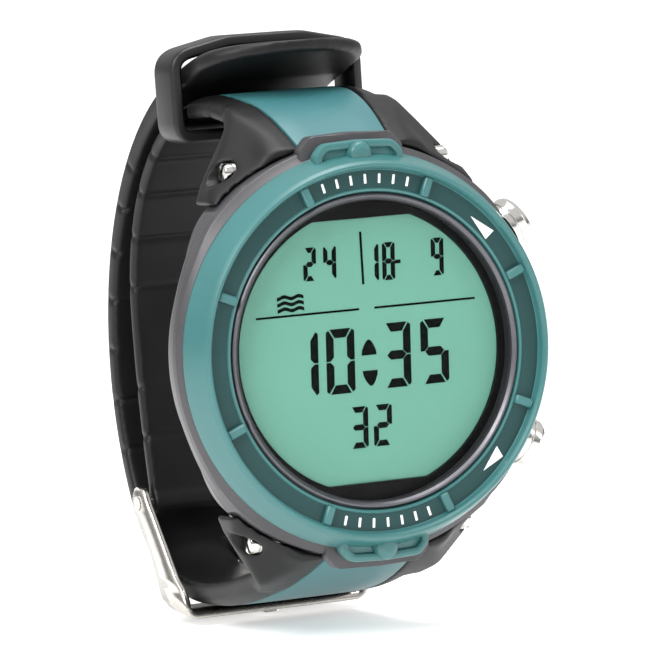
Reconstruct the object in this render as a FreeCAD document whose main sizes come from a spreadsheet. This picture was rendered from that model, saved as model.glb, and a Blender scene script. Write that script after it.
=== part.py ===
"""Wrist dive computer: a round case with a coloured bezel on a two-part rubber strap.

Frame: origin at the centre of the back cover's flat face, +Z towards 12 o'clock, +X towards
3 o'clock, and -Y the way the display faces. "Depth" counts from the bezel's front rim.
"""
import FreeCAD, Part
import math
import os
import re
import Sketcher
from FreeCAD import Placement, Rotation, Vector

os.makedirs("parts", exist_ok=True)
doc = FreeCAD.newDocument("wrist_dive_computer")
sheet = doc.addObject("Spreadsheet::Sheet", "Dims")

# Driving dimensions in millimetres and degrees. Depths count from the bezel's front rim.
DIMENSIONS = {
    "total_depth": 16.0,
    "case_radius": 24.5,
    "case_front_depth": 4.35,
    "case_belt_depth": 5.6,
    "case_waist_radius": 23.6,
    "case_waist_depth": 9.0,
    "case_back_radius": 20.4,
    "lug_radius": 25.05,
    "case_bore_radius": 17.7,
    "bezel_foot_radius": 24.0,
    "bezel_foot_depth": 4.25,
    "bezel_rim_outer": 22.6,
    "bezel_rim_inner": 21.6,
    "bezel_lip_outer": 19.6,
    "bezel_bore": 18.95,
    "bezel_floor_depth": 1.3,
    "bezel_rib_width": 1.0,
    "bezel_rib_count": 8,
    "tab_half_width": 5.9,
    "tab_reach": 25.2,
    "tab_depth": 2.6,
    "boss_radius": 1.65,
    "boss_reach": 23.7,
    "ring_outer": 18.85,
    "ring_inner": 18.15,
    "ring_depth": 1.05,
    "crystal_radius": 18.0,
    "crystal_front_depth": 1.45,
    "crystal_back_depth": 3.0,
    "mask_radius": 18.55,
    "mask_opening": 17.1,
    "mask_flat": 15.8,
    "mask_back_depth": 3.45,
    "module_radius": 17.45,
    "display_radius": 17.3,
    "display_flat": 16.6,
    "display_back_depth": 5.1,
    "frame_back_depth": 7.25,
    "board_back_depth": 8.3,
    "tray_front_depth": 9.4,
    "tray_back_depth": 13.0,
    "cell_radius": 12.25,
    "cell_thick": 3.0,
    "cell_offset": 2.0,
    "cover_radius": 18.9,
    "cover_depth": 14.2,
    "gasket_inner": 17.85,
    "gasket_outer": 18.4,
    "gasket_depth": 13.5,
    "screw_circle": 19.4,
    "screw_head_radius": 1.2,
    "screw_shank_radius": 0.7,
    "ear_radius": 2.0,
    "cap_radius": 12.9,
    "cap_plug_radius": 12.0,
    "sensor_offset_side": 13.9,
    "sensor_offset_up": 3.8,
    "sensor_radius": 2.4,
    "button_angle": 31.5,
    "button_depth": 7.6,
    "button_radius": 3.1,
    "button_reach": 27.4,
    "button_seat": 24.4,
    "button_well": 21.8,
    "stem_radius": 1.1,
    "stem_end": 16.6,
    "strap_half_width": 11.0,
    "bevel_across": 2.5,
    "bevel_drop": 1.2,
    "upper_strap_thick": 2.6,
    "lower_strap_thick": 3.2,
    "strap_centre_depth": 24.5,
    "strap_centre_rise": 4.0,
    "upper_strap_radius": 27.4,
    "long_centre_depth": 20.7,
    "long_centre_rise": -3.1,
    "lower_strap_radius": 39.6,
    "strap_root_depth": 5.9,
    "shoulder_hug_radius": 25.2,
    "shoulder_back_depth": 17.0,
    "insert_half_start": 5.9,
    "insert_half_end": 7.5,
    "insert_thick": 1.0,
    "bar_depth": 9.8,
    "bar_rise": 22.3,
    "bar_radius": 1.25,
    "strap_screw_radius": 1.25,
    "strap_screw_seat": 13.7,
    "hole_half_width": 1.5,
    "pin_depth": 48.24,
    "pin_rise": -20.2,
    "pin_radius": 0.8,
    "buckle_half_width": 12.8,
    "buckle_gauge": 1.0,
    "tongue_half_width": 1.1,
    "keeper_half_width": 13.0,
    "keeper_front_depth": 27.4,
    "keeper_back_depth": 33.2,
}
for row, (alias, value) in enumerate(DIMENSIONS.items(), start=1):
    sheet.set("A%d" % row, alias.replace("_", " "))
    sheet.set("B%d" % row, str(value))
    sheet.setAlias("B%d" % row, alias)
doc.recompute()

FACE_AXIS = Rotation(Vector(1, 0, 0), -90)   # turns a primitive's +Z to +Y, front to back
SIDE_AXIS = Rotation(Vector(0, 1, 0), 90)    # turns a primitive's +Z to +X
made = []


def size(alias):
    """A driving dimension, read from the sheet."""
    return float(getattr(sheet, alias))


def bind(text):
    """Point every alias in an expression at the sheet."""
    return re.sub(r"[a-z_]{3,}[a-z_0-9]*", lambda word: "Dims." + word.group(0), str(text))


def value_of(text):
    return float(sheet.evalExpression(str(text)))


def front(depth):
    """The Y of a depth behind the bezel's rim."""
    return depth - size("total_depth")


def keep(item, label):
    """Count an object as a finished sub-part."""
    item.Label = label
    made.append(item)
    return item


# ---------------------------------------------------------------- parametric building blocks

def turned(label, corners):
    """A body revolved about the face axis, from (radius, depth) expression pairs."""
    body = doc.addObject("PartDesign::Body", label)
    sketch = body.newObject("Sketcher::SketchObject", label + "_profile")
    plane = [item for item in body.Origin.OriginFeatures if item.Role == "XY_Plane"][0]
    sketch.AttachmentSupport = [(plane, "")]
    sketch.MapMode = "FlatFace"
    pairs = [(across, "%s - total_depth" % depth) for across, depth in corners]
    spots = [Vector(value_of(across), value_of(along), 0) for across, along in pairs]
    for index, spot in enumerate(spots):
        sketch.addGeometry(Part.LineSegment(spot, spots[(index + 1) % len(spots)]), False)
    for index in range(len(spots)):
        sketch.addConstraint(Sketcher.Constraint("Coincident", index, 2, (index + 1) % len(spots), 1))
    for index, (spot, pair) in enumerate(zip(spots, pairs)):
        across = sketch.addConstraint(Sketcher.Constraint("DistanceX", -1, 1, index, 1, spot.x))
        along = sketch.addConstraint(Sketcher.Constraint("DistanceY", -1, 1, index, 1, spot.y))
        sketch.setExpression("Constraints[%d]" % across, bind(pair[0]))
        sketch.setExpression("Constraints[%d]" % along, bind(pair[1]))
    solid = body.newObject("PartDesign::Revolution", label + "_turn")
    solid.Profile = sketch
    solid.ReferenceAxis = (sketch, ["V_Axis"])
    solid.Angle = 360
    return body


def disc(name, radius, start, end, across=0, up=0):
    """A cylinder along the face axis between two depths."""
    item = doc.addObject("Part::Cylinder", name)
    item.Placement = Placement(Vector(0, 0, 0), FACE_AXIS)
    item.setExpression("Radius", bind(radius))
    item.setExpression("Height", bind("(%s) - (%s)" % (end, start)))
    item.setExpression("Placement.Base.x", bind(across))
    item.setExpression("Placement.Base.y", bind("%s - total_depth" % start))
    item.setExpression("Placement.Base.z", bind(up))
    return item


def block(name, width, start, end, low, high, across=0):
    """A box centred at across, between two depths and two heights."""
    item = doc.addObject("Part::Box", name)
    item.setExpression("Length", bind(width))
    item.setExpression("Width", bind("(%s) - (%s)" % (end, start)))
    item.setExpression("Height", bind("(%s) - (%s)" % (high, low)))
    item.setExpression("Placement.Base.x", bind("(%s) - (%s) / 2" % (across, width)))
    item.setExpression("Placement.Base.y", bind("%s - total_depth" % start))
    item.setExpression("Placement.Base.z", bind(low))
    return item


def cross_bar(name, radius, reach, depth, rise):
    """A cylinder along X, centred, between -reach and +reach."""
    item = doc.addObject("Part::Cylinder", name)
    item.Placement = Placement(Vector(0, 0, 0), SIDE_AXIS)
    item.setExpression("Radius", bind(radius))
    item.setExpression("Height", bind("2 * (%s)" % reach))
    item.setExpression("Placement.Base.x", bind("-(%s)" % reach))
    item.setExpression("Placement.Base.y", bind("%s - total_depth" % depth))
    item.setExpression("Placement.Base.z", bind(rise))
    return item


def cut(name, base, *tools):
    """The base with one tool, or a fused group of tools, taken away."""
    item = doc.addObject("Part::Cut", name)
    item.Base = base
    item.Tool = tools[0] if len(tools) == 1 else fuse(name + "_tools", *tools)
    return item


def fuse(name, *shapes):
    item = doc.addObject("Part::MultiFuse", name)
    item.Shapes = list(shapes)
    return item


def common(name, *shapes):
    item = doc.addObject("Part::MultiCommon", name)
    item.Shapes = list(shapes)
    return item


def feature(name, shape):
    """A shape made with Part's own functions."""
    item = doc.addObject("Part::Feature", name)
    item.Shape = shape
    return item


def radial(name, radius, start, end, side, depth="button_depth"):
    """A cylinder along the button's radial line; side is +1 above, -1 below."""
    angle = math.radians(side * size("button_angle"))
    reach = size(start) if isinstance(start, str) else start
    stop = size(end) if isinstance(end, str) else end
    way = Vector(math.cos(angle), 0, math.sin(angle))
    base = way * reach + Vector(0, front(size(depth)), 0)
    return feature(name, Part.makeCylinder(radius, stop - reach, base, way))


# ---------------------------------------------------------------- curved strap outlines

def on_arc(centre, radius, degrees):
    """(depth, rise) of a point on an arc in the side view."""
    angle = math.radians(degrees)
    return (centre[0] + radius * math.cos(angle), centre[1] + radius * math.sin(angle))


def next_centre(centre, radius, degrees, new_radius):
    """The centre of the arc that carries on smoothly from this one."""
    return on_arc(centre, radius - new_radius, degrees)


def side_point(pair, across=0.0):
    return Vector(across, front(pair[0]), pair[1])


def arc_edge(centre, radius, first, last, across):
    spots = [on_arc(centre, radius, angle) for angle in (first, (first + last) / 2, last)]
    return Part.Arc(*[side_point(spot, across) for spot in spots]).toShape()


def arc_band(arcs, outer_drop, inner_drop, half_width):
    """A band between two offsets inward of a chain of arcs (centre, radius, first, last)."""
    outer = [arc_edge(c, r - outer_drop, a, b, -half_width) for c, r, a, b in arcs]
    inner = [arc_edge(c, r - inner_drop, b, a, -half_width) for c, r, a, b in reversed(arcs)]
    turn = Part.makeLine(outer[-1].Vertexes[-1].Point, inner[0].Vertexes[0].Point)
    close = Part.makeLine(inner[-1].Vertexes[-1].Point, outer[0].Vertexes[0].Point)
    face = Part.Face(Part.Wire(outer + [turn] + inner + [close]))
    return face.extrude(Vector(2 * half_width, 0, 0))


def bevel_edges(band, arcs):
    """Take a bevel off the band's two outer edges, all along its arcs."""
    half = size("strap_half_width")
    start = half - size("bevel_across")
    drop = size("bevel_drop")
    for centre, radius, first, last in arcs:
        low, high = sorted((first, last))
        for way in (1, -1):
            corners = [(start, radius), (half, radius - drop), (half + 1, radius - drop),
                       (half + 1, radius + 1), (start, radius + 1)]
            spots = [side_point(on_arc(centre, reach, low), way * across) for across, reach in corners]
            face = Part.Face(Part.makePolygon(spots + spots[:1]))
            band = band.cut(face.revolve(side_point(centre), Vector(1, 0, 0), high - low))
    return band


def side_prism(outline, low, high):
    """A prism along X from (depth, rise) corners."""
    spots = [side_point(pair, low) for pair in outline]
    return Part.Face(Part.makePolygon(spots + spots[:1])).extrude(Vector(high - low, 0, 0))


def front_prism(outline, start, end):
    """A prism along Y from (across, rise) corners, between two depths."""
    spots = [Vector(across, front(start), rise) for across, rise in outline]
    return Part.Face(Part.makePolygon(spots + spots[:1])).extrude(Vector(0, end - start, 0))


def plan_prism(outline, low, high):
    """A prism along Z from (across, depth) corners, between two heights."""
    spots = [Vector(across, front(depth), low) for across, depth in outline]
    return Part.Face(Part.makePolygon(spots + spots[:1])).extrude(Vector(0, 0, high - low))


def mirrored(outline):
    """A half outline on +X, completed on -X."""
    return outline + [(-across, other) for across, other in reversed(outline)]


# ---------------------------------------------------------------- case, bezel and crystal

def make_case():
    """Moulded case: a tub open at the back, with pads under the bezel tabs."""
    shell = turned("case_shell", [
        ("case_bore_radius", "mask_back_depth + 0.65"),
        ("mask_opening + 0.3", "mask_back_depth + 0.65"),
        ("mask_opening + 0.3", "mask_back_depth"),
        ("ring_inner + 0.5", "mask_back_depth"),
        ("ring_inner + 0.5", "crystal_front_depth + 0.2"),
        ("bezel_bore - 0.05", "crystal_front_depth + 0.2"),
        ("bezel_bore - 0.05", "bezel_floor_depth + 0.85"),
        ("bezel_lip_outer + 0.5", "crystal_front_depth + 0.85"),
        ("bezel_lip_outer + 0.5", "case_front_depth"),
        ("case_radius - 0.6", "case_front_depth"),
        ("case_radius", "case_belt_depth - 0.5"),
        ("case_radius", "case_belt_depth + 0.5"),
        ("case_waist_radius", "case_waist_depth"),
        ("case_back_radius + 0.4", "total_depth - 1.2"),
        ("case_back_radius", "total_depth - 0.3"),
        ("cover_radius + 0.05", "total_depth - 0.3"),
        ("cover_radius + 0.05", "cover_depth"),
        ("gasket_outer", "cover_depth"),
        ("gasket_outer", "gasket_depth"),
        ("case_bore_radius", "gasket_depth"),
    ])
    pads = []
    for name, low, high in (("upper", "tab_reach - 3.2", "tab_reach + 0.35"),
                            ("lower", "-(tab_reach + 0.35)", "-(tab_reach - 3.2)")):
        pads.append(block(name + "_pad", "2 * tab_half_width + 1.6", "case_front_depth",
                          "strap_root_depth - 0.35", low, high))
    start, end = "case_front_depth + 0.6", "bar_depth + 2"
    for name, low, high in (("upper", "13", "26"), ("lower", "-26", "-13")):
        lug = common(name + "_lug_blank", disc(name + "_lug_round", "lug_radius", start, end),
                     block(name + "_lug_limit", "43", start, end, low, high))
        pads.append(cut(name + "_lug", lug, disc(name + "_lug_bore", "case_bore_radius + 1.5", start, end)))
    tools = [disc("gasket_room", "gasket_outer", "gasket_depth", "total_depth"),
             disc("cover_room", "cover_radius + 0.05", "cover_depth", "total_depth"),
             disc("bore_room", "case_bore_radius", "total_depth - 6", "total_depth")]
    for index in range(4):
        across, rise = screw_spot(index)
        pads.append(disc("corner_%d" % index, "ear_radius + 0.6", "total_depth - 5.5", "total_depth - 0.3",
                         across, rise))
        tools.append(disc("corner_seat_%d" % index, "ear_radius + 0.05", "cover_depth", "total_depth",
                          across, rise))
    body = fuse("case_blank", shell, *pads)
    for name, sign in (("upper", 1), ("lower", -1)):
        tools.append(feature(name + "_bar_holes", bar_holes(sign)))
    for name, side in (("top", 1), ("bottom", -1)):
        tools.append(radial(name + "_well", size("button_radius") + 0.2, "button_well",
                            size("lug_radius") + 1, side))
        tools.append(radial(name + "_stem_hole", size("stem_radius") + 0.6, size("case_bore_radius") - 1,
                            size("button_well") + 0.1, side))
    for index in range(4):
        across, rise = screw_spot(index)
        tools.append(disc("screw_hole_%d" % index, "screw_shank_radius", "cover_depth - 4",
                          "cover_depth + 0.1", across, rise))
    keep(cut("case_body", body, *tools), "case_body")


def screw_spot(index):
    """(across, rise) of one of the four back screws."""
    angle = math.radians(45 + 90 * index)
    return size("screw_circle") * math.cos(angle), size("screw_circle") * math.sin(angle)


def make_bezel():
    """Coloured ring with a channel in eight windows, and a tab with a dome at 12 and 6."""
    ring = turned("bezel_ring", [
        ("bezel_bore", "bezel_floor_depth + 0.3"),
        ("bezel_lip_outer - 0.25", "bezel_floor_depth - 0.45"),
        ("bezel_lip_outer", "bezel_floor_depth - 0.45"),
        ("bezel_lip_outer + 0.15", "bezel_floor_depth"),
        ("bezel_rim_inner - 0.2", "bezel_floor_depth"),
        ("bezel_rim_inner", "0.3"),
        ("bezel_rim_inner + 0.3", "0"),
        ("bezel_rim_outer - 0.35", "0"),
        ("bezel_rim_outer", "0.45"),
        ("bezel_foot_radius", "bezel_foot_depth - 0.5"),
        ("bezel_foot_radius", "bezel_foot_depth"),
        ("bezel_lip_outer + 0.6", "bezel_foot_depth"),
        ("bezel_lip_outer + 0.6", "crystal_front_depth + 0.8"),
        ("bezel_bore", "bezel_floor_depth + 0.8"),
    ])
    pieces = [ring]
    for index in range(int(size("bezel_rib_count"))):
        rib = doc.addObject("Part::Box", "rib_%d" % index)
        rib.setExpression("Length", bind("bezel_rim_inner - bezel_lip_outer + 0.2"))
        rib.setExpression("Width", bind("bezel_floor_depth + 0.3 - 0.55"))
        rib.setExpression("Height", bind("bezel_rib_width"))
        angle = 360.0 / size("bezel_rib_count") * (index + 0.5)
        turn = Rotation(Vector(0, 1, 0), -angle)
        base = turn.multVec(Vector(size("bezel_lip_outer") - 0.1, 0, -size("bezel_rib_width") / 2))
        rib.Placement = Placement(base + Vector(0, front(0.55), 0), turn)
        pieces.append(rib)
    for name, sign in (("upper", 1), ("lower", -1)):
        spots = sorted((sign * (size("bezel_rim_outer") - 0.2), sign * size("tab_reach")))
        pieces.append(block(name + "_tab", "2 * tab_half_width", "tab_depth + 0.55",
                            "bezel_foot_depth", spots[0], spots[1]))
        lip = sorted((sign * (size("tab_reach") - 0.7), sign * size("tab_reach")))
        pieces.append(block(name + "_tab_lip", "2 * tab_half_width", "tab_depth",
                            "tab_depth + 0.6", lip[0], lip[1]))
        dome = doc.addObject("Part::Sphere", name + "_dome")
        dome.setExpression("Radius", bind("boss_radius"))
        dome.setExpression("Placement.Base.y", bind("tab_depth + 0.5 - total_depth"))
        dome.setExpression("Placement.Base.z", bind("%d * boss_reach" % sign))
        pieces.append(common(name + "_dome_cut", dome,
                             block(name + "_dome_room", "4", "0", "bezel_foot_depth", *sorted(
                                 (sign * (size("boss_reach") - 2), sign * (size("boss_reach") + 2))))))
    keep(fuse("bezel", *pieces), "bezel")


def make_window():
    """Retaining ring, crystal, its gasket and the black mask round the display."""
    keep(turned("retaining_ring", [
        ("ring_inner", "ring_depth + 0.12"),
        ("ring_inner + 0.15", "ring_depth"),
        ("ring_outer - 0.1", "ring_depth"),
        ("ring_outer", "ring_depth + 0.1"),
        ("ring_outer", "crystal_front_depth"),
        ("ring_inner", "crystal_front_depth"),
    ]), "retaining_ring")
    keep(turned("crystal", [
        ("0", "crystal_front_depth"),
        ("crystal_radius - 0.2", "crystal_front_depth"),
        ("crystal_radius", "crystal_front_depth + 0.2"),
        ("crystal_radius", "crystal_back_depth"),
        ("0", "crystal_back_depth"),
    ]), "crystal")
    keep(turned("crystal_gasket", [
        ("crystal_radius + 0.02", "crystal_front_depth + 0.05"),
        ("ring_inner + 0.48", "crystal_front_depth + 0.05"),
        ("ring_inner + 0.48", "crystal_back_depth"),
        ("crystal_radius + 0.02", "crystal_back_depth"),
    ]), "crystal_gasket")
    opening = common("mask_opening_shape",
                     disc("mask_round", "mask_opening", "crystal_back_depth - 0.1", "mask_back_depth + 0.1"),
                     block("mask_flats", "2 * mask_radius", "crystal_back_depth - 0.2",
                           "mask_back_depth + 0.2", "-mask_flat", "mask_flat"))
    keep(cut("dial_mask", disc("mask_blank", "mask_radius", "crystal_back_depth", "mask_back_depth"),
             opening), "dial_mask")


# ---------------------------------------------------------------- display, board and cell

def button_notches(name, start, end):
    """Two slots that leave room for the button stems."""
    slots = []
    for side in (1, -1):
        turn = Rotation(Vector(0, 1, 0), -side * size("button_angle"))
        slot = Part.makeBox(6, end - start, 5.0, Vector(15.2, front(start), -2.5))
        slot.Placement = Placement(Vector(0, 0, 0), turn)
        slots.append(slot)
    return feature(name, slots[0].fuse(slots[1]))


def make_display():
    keep(common("display",
                disc("display_round", "display_radius", "mask_back_depth + 0.02", "display_back_depth"),
                block("display_flats", "2 * display_radius", "mask_back_depth", "display_back_depth",
                      "-display_flat", "display_flat")), "display")
    keep(common("backlight",
                disc("backlight_round", "15.8", "display_back_depth + 0.05", "display_back_depth + 0.65"),
                block("backlight_flats", "34", "display_back_depth", "display_back_depth + 1",
                      "-13.4", "13.4")), "backlight")
    strips = [block("strip_%s" % name, "13", "display_back_depth + 0.02", "frame_back_depth", low, high)
              for name, low, high in (("upper", "13.9", "15.9"), ("lower", "-15.9", "-13.9"))]
    keep(fuse("connector_strips", *strips), "connector_strips")
    pockets = [
        common("light_pocket",
               disc("light_pocket_round", "16", "display_back_depth", "display_back_depth + 0.75"),
               block("light_pocket_flats", "34", "display_back_depth", "display_back_depth + 1",
                     "-13.6", "13.6")),
        block("strip_slot_upper", "13.2", "display_back_depth", "frame_back_depth + 0.1", "13.8", "16"),
        block("strip_slot_lower", "13.2", "display_back_depth", "frame_back_depth + 0.1", "-16", "-13.8"),
        block("light_window", "20", "display_back_depth + 0.7", "frame_back_depth + 0.1", "-9", "9"),
        button_notches("frame_notches", 5.0, 10.4),
    ]
    keep(cut("display_frame", disc("frame_blank", "module_radius", "display_back_depth + 0.02",
                                   "frame_back_depth"), *pockets), "display_frame")


def make_board():
    blank = disc("board_blank", "module_radius", "frame_back_depth + 0.02", "board_back_depth")
    keep(cut("main_board", blank, button_notches("board_notches", 5.0, 10.4)), "main_board")
    chips = [
        ("processor", "7", "0.9", "-2", "5", "2"),
        ("memory", "5", "0.8", "-9", "-5", "7"),
        ("regulator", "2.6", "0.9", "-11", "-8.5", "-6"),
        ("crystal_can", "3.2", "1.0", "4", "5.4", "9"),
        ("switch_top", "2", "0.9", "6.4", "8.6", "11"),
        ("switch_bottom", "2", "0.9", "-8.6", "-6.4", "11"),
    ]
    solids = [block(name, width, "board_back_depth", "board_back_depth + " + tall, low, high, across)
              for name, width, tall, low, high, across in chips]
    keep(fuse("board_chips", *solids), "board_chips")
    sensor = ("-sensor_offset_side", "sensor_offset_up")
    buzzer = ("-sensor_offset_side", "-sensor_offset_up")
    tools = [
        disc("cell_pocket", "cell_radius + 0.1", "tray_back_depth - cell_thick", "tray_back_depth + 0.1",
             "cell_offset"),
        disc("sensor_hole", "sensor_radius + 0.3", "tray_front_depth - 1", "tray_back_depth + 1", *sensor),
        disc("buzzer_hole", "2.7", "tray_front_depth - 1", "tray_back_depth + 1", *buzzer),
        button_notches("tray_notches", 5.0, 10.4),
    ]
    keep(cut("battery_tray", disc("tray_blank", "module_radius", "tray_front_depth", "tray_back_depth"),
             *tools), "battery_tray")
    keep(turned("cell_can", [
        ("0", "tray_back_depth - cell_thick + 0.02"),
        ("cell_radius - 1.2", "tray_back_depth - cell_thick + 0.02"),
        ("cell_radius - 1.1", "tray_back_depth - cell_thick + 0.4"),
        ("cell_radius", "tray_back_depth - cell_thick + 0.5"),
        ("cell_radius", "tray_back_depth - 0.2"),
        ("cell_radius - 0.2", "tray_back_depth"),
        ("0", "tray_back_depth"),
    ]), "coin_cell")
    made[-1].setExpression("Placement.Base.x", bind("cell_offset"))
    spring = fuse("battery_spring_shape",
                  block("spring_strip", "3", "tray_back_depth + 0.02", "tray_back_depth + 0.2", "-9", "9",
                        "cell_offset"),
                  block("spring_foot", "8", "tray_back_depth + 0.02", "tray_back_depth + 0.2", "-9", "-6.5",
                        "cell_offset"))
    keep(spring, "battery_spring")
    keep(disc("buzzer", "2.5", "board_back_depth", "board_back_depth + 3.4", *buzzer), "buzzer")
    keep(fuse("pressure_sensor",
              disc("sensor_can", "sensor_radius", "board_back_depth", "gasket_depth - 0.4", *sensor),
              disc("sensor_nose", "sensor_radius - 0.9", "gasket_depth - 0.5", "cover_depth + 0.3", *sensor)),
         "pressure_sensor")
    keep(cut("sensor_seal",
             disc("seal_outer", "sensor_radius - 0.1", "gasket_depth - 0.38", "cover_depth - 0.22", *sensor),
             disc("seal_inner", "sensor_radius - 0.85", "gasket_depth - 0.6", "cover_depth", *sensor)),
         "sensor_seal")


# ---------------------------------------------------------------- back of the case

def make_back():
    sensor = ("-sensor_offset_side", "sensor_offset_up")
    plate = turned("cover_round", [
        ("0", "cover_depth - 0.2"),
        ("15.2", "cover_depth - 0.2"),
        ("15.2", "cover_depth"),
        ("cover_radius", "cover_depth"),
        ("cover_radius", "total_depth - 0.25"),
        ("cover_radius - 0.25", "total_depth"),
        ("0", "total_depth"),
    ])
    ears = []
    for index in range(4):
        across, rise = screw_spot(index)
        ears.append(disc("ear_%d" % index, "ear_radius", "cover_depth", "total_depth - 0.25", across, rise))
    plate = fuse("cover_plate", plate, *ears)
    tools = [
        disc("cap_hole", "cap_plug_radius + 0.05", "cover_depth - 0.3", "total_depth + 0.1", "cell_offset"),
        disc("cap_seat", "cap_radius + 0.1", "total_depth - 0.9", "total_depth + 0.1", "cell_offset"),
        disc("nose_hole", "sensor_radius - 0.8", "cover_depth - 0.3", "cover_depth + 0.4", *sensor),
        disc("vent_seat", "2.25", "cover_depth + 0.35", "total_depth + 0.1", *sensor),
    ]
    for index in range(4):
        across, rise = screw_spot(index)
        tools.append(disc("cover_hole_%d" % index, "screw_shank_radius + 0.1", "cover_depth - 0.1",
                          "total_depth + 0.1", across, rise))
        tools.append(disc("cover_sink_%d" % index, "screw_head_radius + 0.05", "total_depth - 0.9",
                          "total_depth + 0.1", across, rise))
    keep(cut("back_cover", plate, *tools), "back_cover")
    keep(turned("back_gasket", [
        ("gasket_inner", "gasket_depth + 0.02"),
        ("gasket_outer - 0.02", "gasket_depth + 0.02"),
        ("gasket_outer - 0.02", "cover_depth - 0.01"),
        ("gasket_inner", "cover_depth - 0.01"),
    ]), "back_gasket")
    screws = []
    for index in range(4):
        across, rise = screw_spot(index)
        head = disc("head_%d" % index, "screw_head_radius", "total_depth - 0.88", "total_depth - 0.1",
                    across, rise)
        shank = disc("shank_%d" % index, "screw_shank_radius - 0.03", "cover_depth - 3.8",
                     "total_depth - 0.8", across, rise)
        socket = disc("socket_%d" % index, "0.5", "total_depth - 0.5", "total_depth", across, rise)
        screws.append(cut("back_screw_%d" % index, fuse("screw_blank_%d" % index, head, shank), socket))
    keep(fuse("back_screws", *screws), "back_screws")
    cap = fuse("cap_blank",
               disc("cap_flange", "cap_radius", "total_depth - 0.88", "total_depth", "cell_offset"),
               disc("cap_plug", "cap_plug_radius - 0.02", "tray_back_depth + 0.35", "total_depth - 0.8",
                    "cell_offset"))
    groove = cut("cap_groove",
                 disc("cap_groove_outer", "cap_plug_radius + 1", "cover_depth + 0.1", "cover_depth + 0.7",
                      "cell_offset"),
                 disc("cap_groove_inner", "cap_plug_radius - 0.55", "cover_depth", "cover_depth + 0.8",
                      "cell_offset"))
    slots = [block(name, "3.6", "total_depth - 0.7", "total_depth + 0.1", "-0.9", "0.9", across)
             for name, across in (("coin_slot_a", "cell_offset - 6.2"), ("coin_slot_b", "cell_offset + 6.2"))]
    keep(cut("battery_cap", cap, groove, *slots), "battery_cap")
    keep(cut("battery_cap_seal",
             disc("cap_seal_outer", "cap_plug_radius + 0.03", "cover_depth + 0.12", "cover_depth + 0.68",
                  "cell_offset"),
             disc("cap_seal_inner", "cap_plug_radius - 0.52", "cover_depth", "cover_depth + 0.8",
                  "cell_offset")), "battery_cap_seal")
    vents = [disc("vent_%d" % index, "0.3", "cover_depth", "total_depth + 0.1",
                  -size("sensor_offset_side") + math.cos(math.radians(72 * index)),
                  size("sensor_offset_up") + math.sin(math.radians(72 * index))) for index in range(5)]
    keep(cut("sensor_cover", disc("vent_blank", "2.2", "cover_depth + 0.75", "total_depth - 0.05", *sensor),
             *vents), "sensor_cover")


# ---------------------------------------------------------------- push buttons

def make_button(name, side):
    """One pusher with its spring, two seals, guide sleeve and clip."""
    reach = size("button_reach")
    cap_radius = size("button_radius")
    stem = size("stem_radius")
    cap = radial(name + "_cap", cap_radius, "button_seat", reach - 0.6, side)
    crown_angle = math.radians(side * size("button_angle"))
    way = Vector(math.cos(crown_angle), 0, math.sin(crown_angle))
    base = way * (reach - 0.6) + Vector(0, front(size("button_depth")), 0)
    crown = feature(name + "_crown", Part.makeCone(cap_radius, cap_radius - 0.6, 0.6, base, way))
    rod = radial(name + "_rod", stem, "stem_end", size("button_seat") + 0.2, side)
    groove = cut(name + "_groove",
                 radial(name + "_groove_outer", stem + 0.5, 17.15, 17.45, side),
                 radial(name + "_groove_inner", stem - 0.3, 17.0, 17.6, side))
    keep(cut(name, fuse(name + "_blank", cap, crown, rod), groove), name)
    clip_outer = radial(name + "_clip_outer", 1.9, 17.18, 17.42, side)
    clip_inner = radial(name + "_clip_inner", stem - 0.28, 17.0, 17.6, side)
    gap = radial(name + "_clip_gap", 0.45, 17.0, 17.6, side)
    gap.Shape = gap.Shape.translated(Vector(0, 1.5, 0))
    keep(cut(name + "_clip", clip_outer, clip_inner, gap), name + "_clip")
    sleeve = cut(name + "_sleeve_shape",
                 fuse(name + "_sleeve_blank",
                      radial(name + "_sleeve_tube", stem + 0.58, 17.75, size("button_well") + 0.1, side),
                      radial(name + "_sleeve_rim", stem + 1.2, size("button_well") + 0.02,
                             size("button_well") + 0.4, side)),
                 radial(name + "_sleeve_bore", stem + 0.05, 17, 23, side),
                 radial(name + "_seal_room", stem + 0.42, 18.6, 20.6, side))
    keep(sleeve, name + "_sleeve")
    seals = []
    for index, start in enumerate((18.7, 19.7)):
        outer = radial("%s_seal_%d" % (name, index), stem + 0.4, start, start + 0.8, side)
        inner = radial("%s_seal_bore_%d" % (name, index), stem + 0.015, start - 0.1, start + 0.9, side)
        seals.append(cut("%s_seal_ring_%d" % (name, index), outer, inner))
    keep(fuse(name + "_seals", *seals), name + "_seals")
    keep(feature(name + "_spring", wave_spring(side)), name + "_spring")


def wave_spring(side):
    """A return spring of three flat rings that meet at crests a quarter turn apart."""
    start = size("button_well") + 0.45
    flat = 0.15
    step = (size("button_seat") - 0.05 - start - flat) / 2
    ring = Part.makeCylinder(2.3, flat).cut(Part.makeCylinder(1.8, flat))
    pieces = [ring.translated(Vector(0, 0, level * step)) for level in range(3)]
    for level, turn in ((0, 0), (0, 180), (1, 90), (1, 270)):
        angle = math.radians(turn)
        foot = Vector(2.05 * math.cos(angle), 2.05 * math.sin(angle), level * step)
        pieces.append(Part.makeCylinder(0.2, step + flat, foot))
    spring = pieces[0].multiFuse(pieces[1:]).removeSplitter()
    turn = Rotation(Vector(0, 0, 1), Vector(1, 0, 0))
    aim = Rotation(Vector(0, 1, 0), -side * size("button_angle"))
    way = aim.multVec(Vector(1, 0, 0))
    spring.Placement = Placement(way * start + Vector(0, front(size("button_depth")), 0), aim * turn)
    return spring


# ---------------------------------------------------------------- straps, inserts and lug bars

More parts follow.
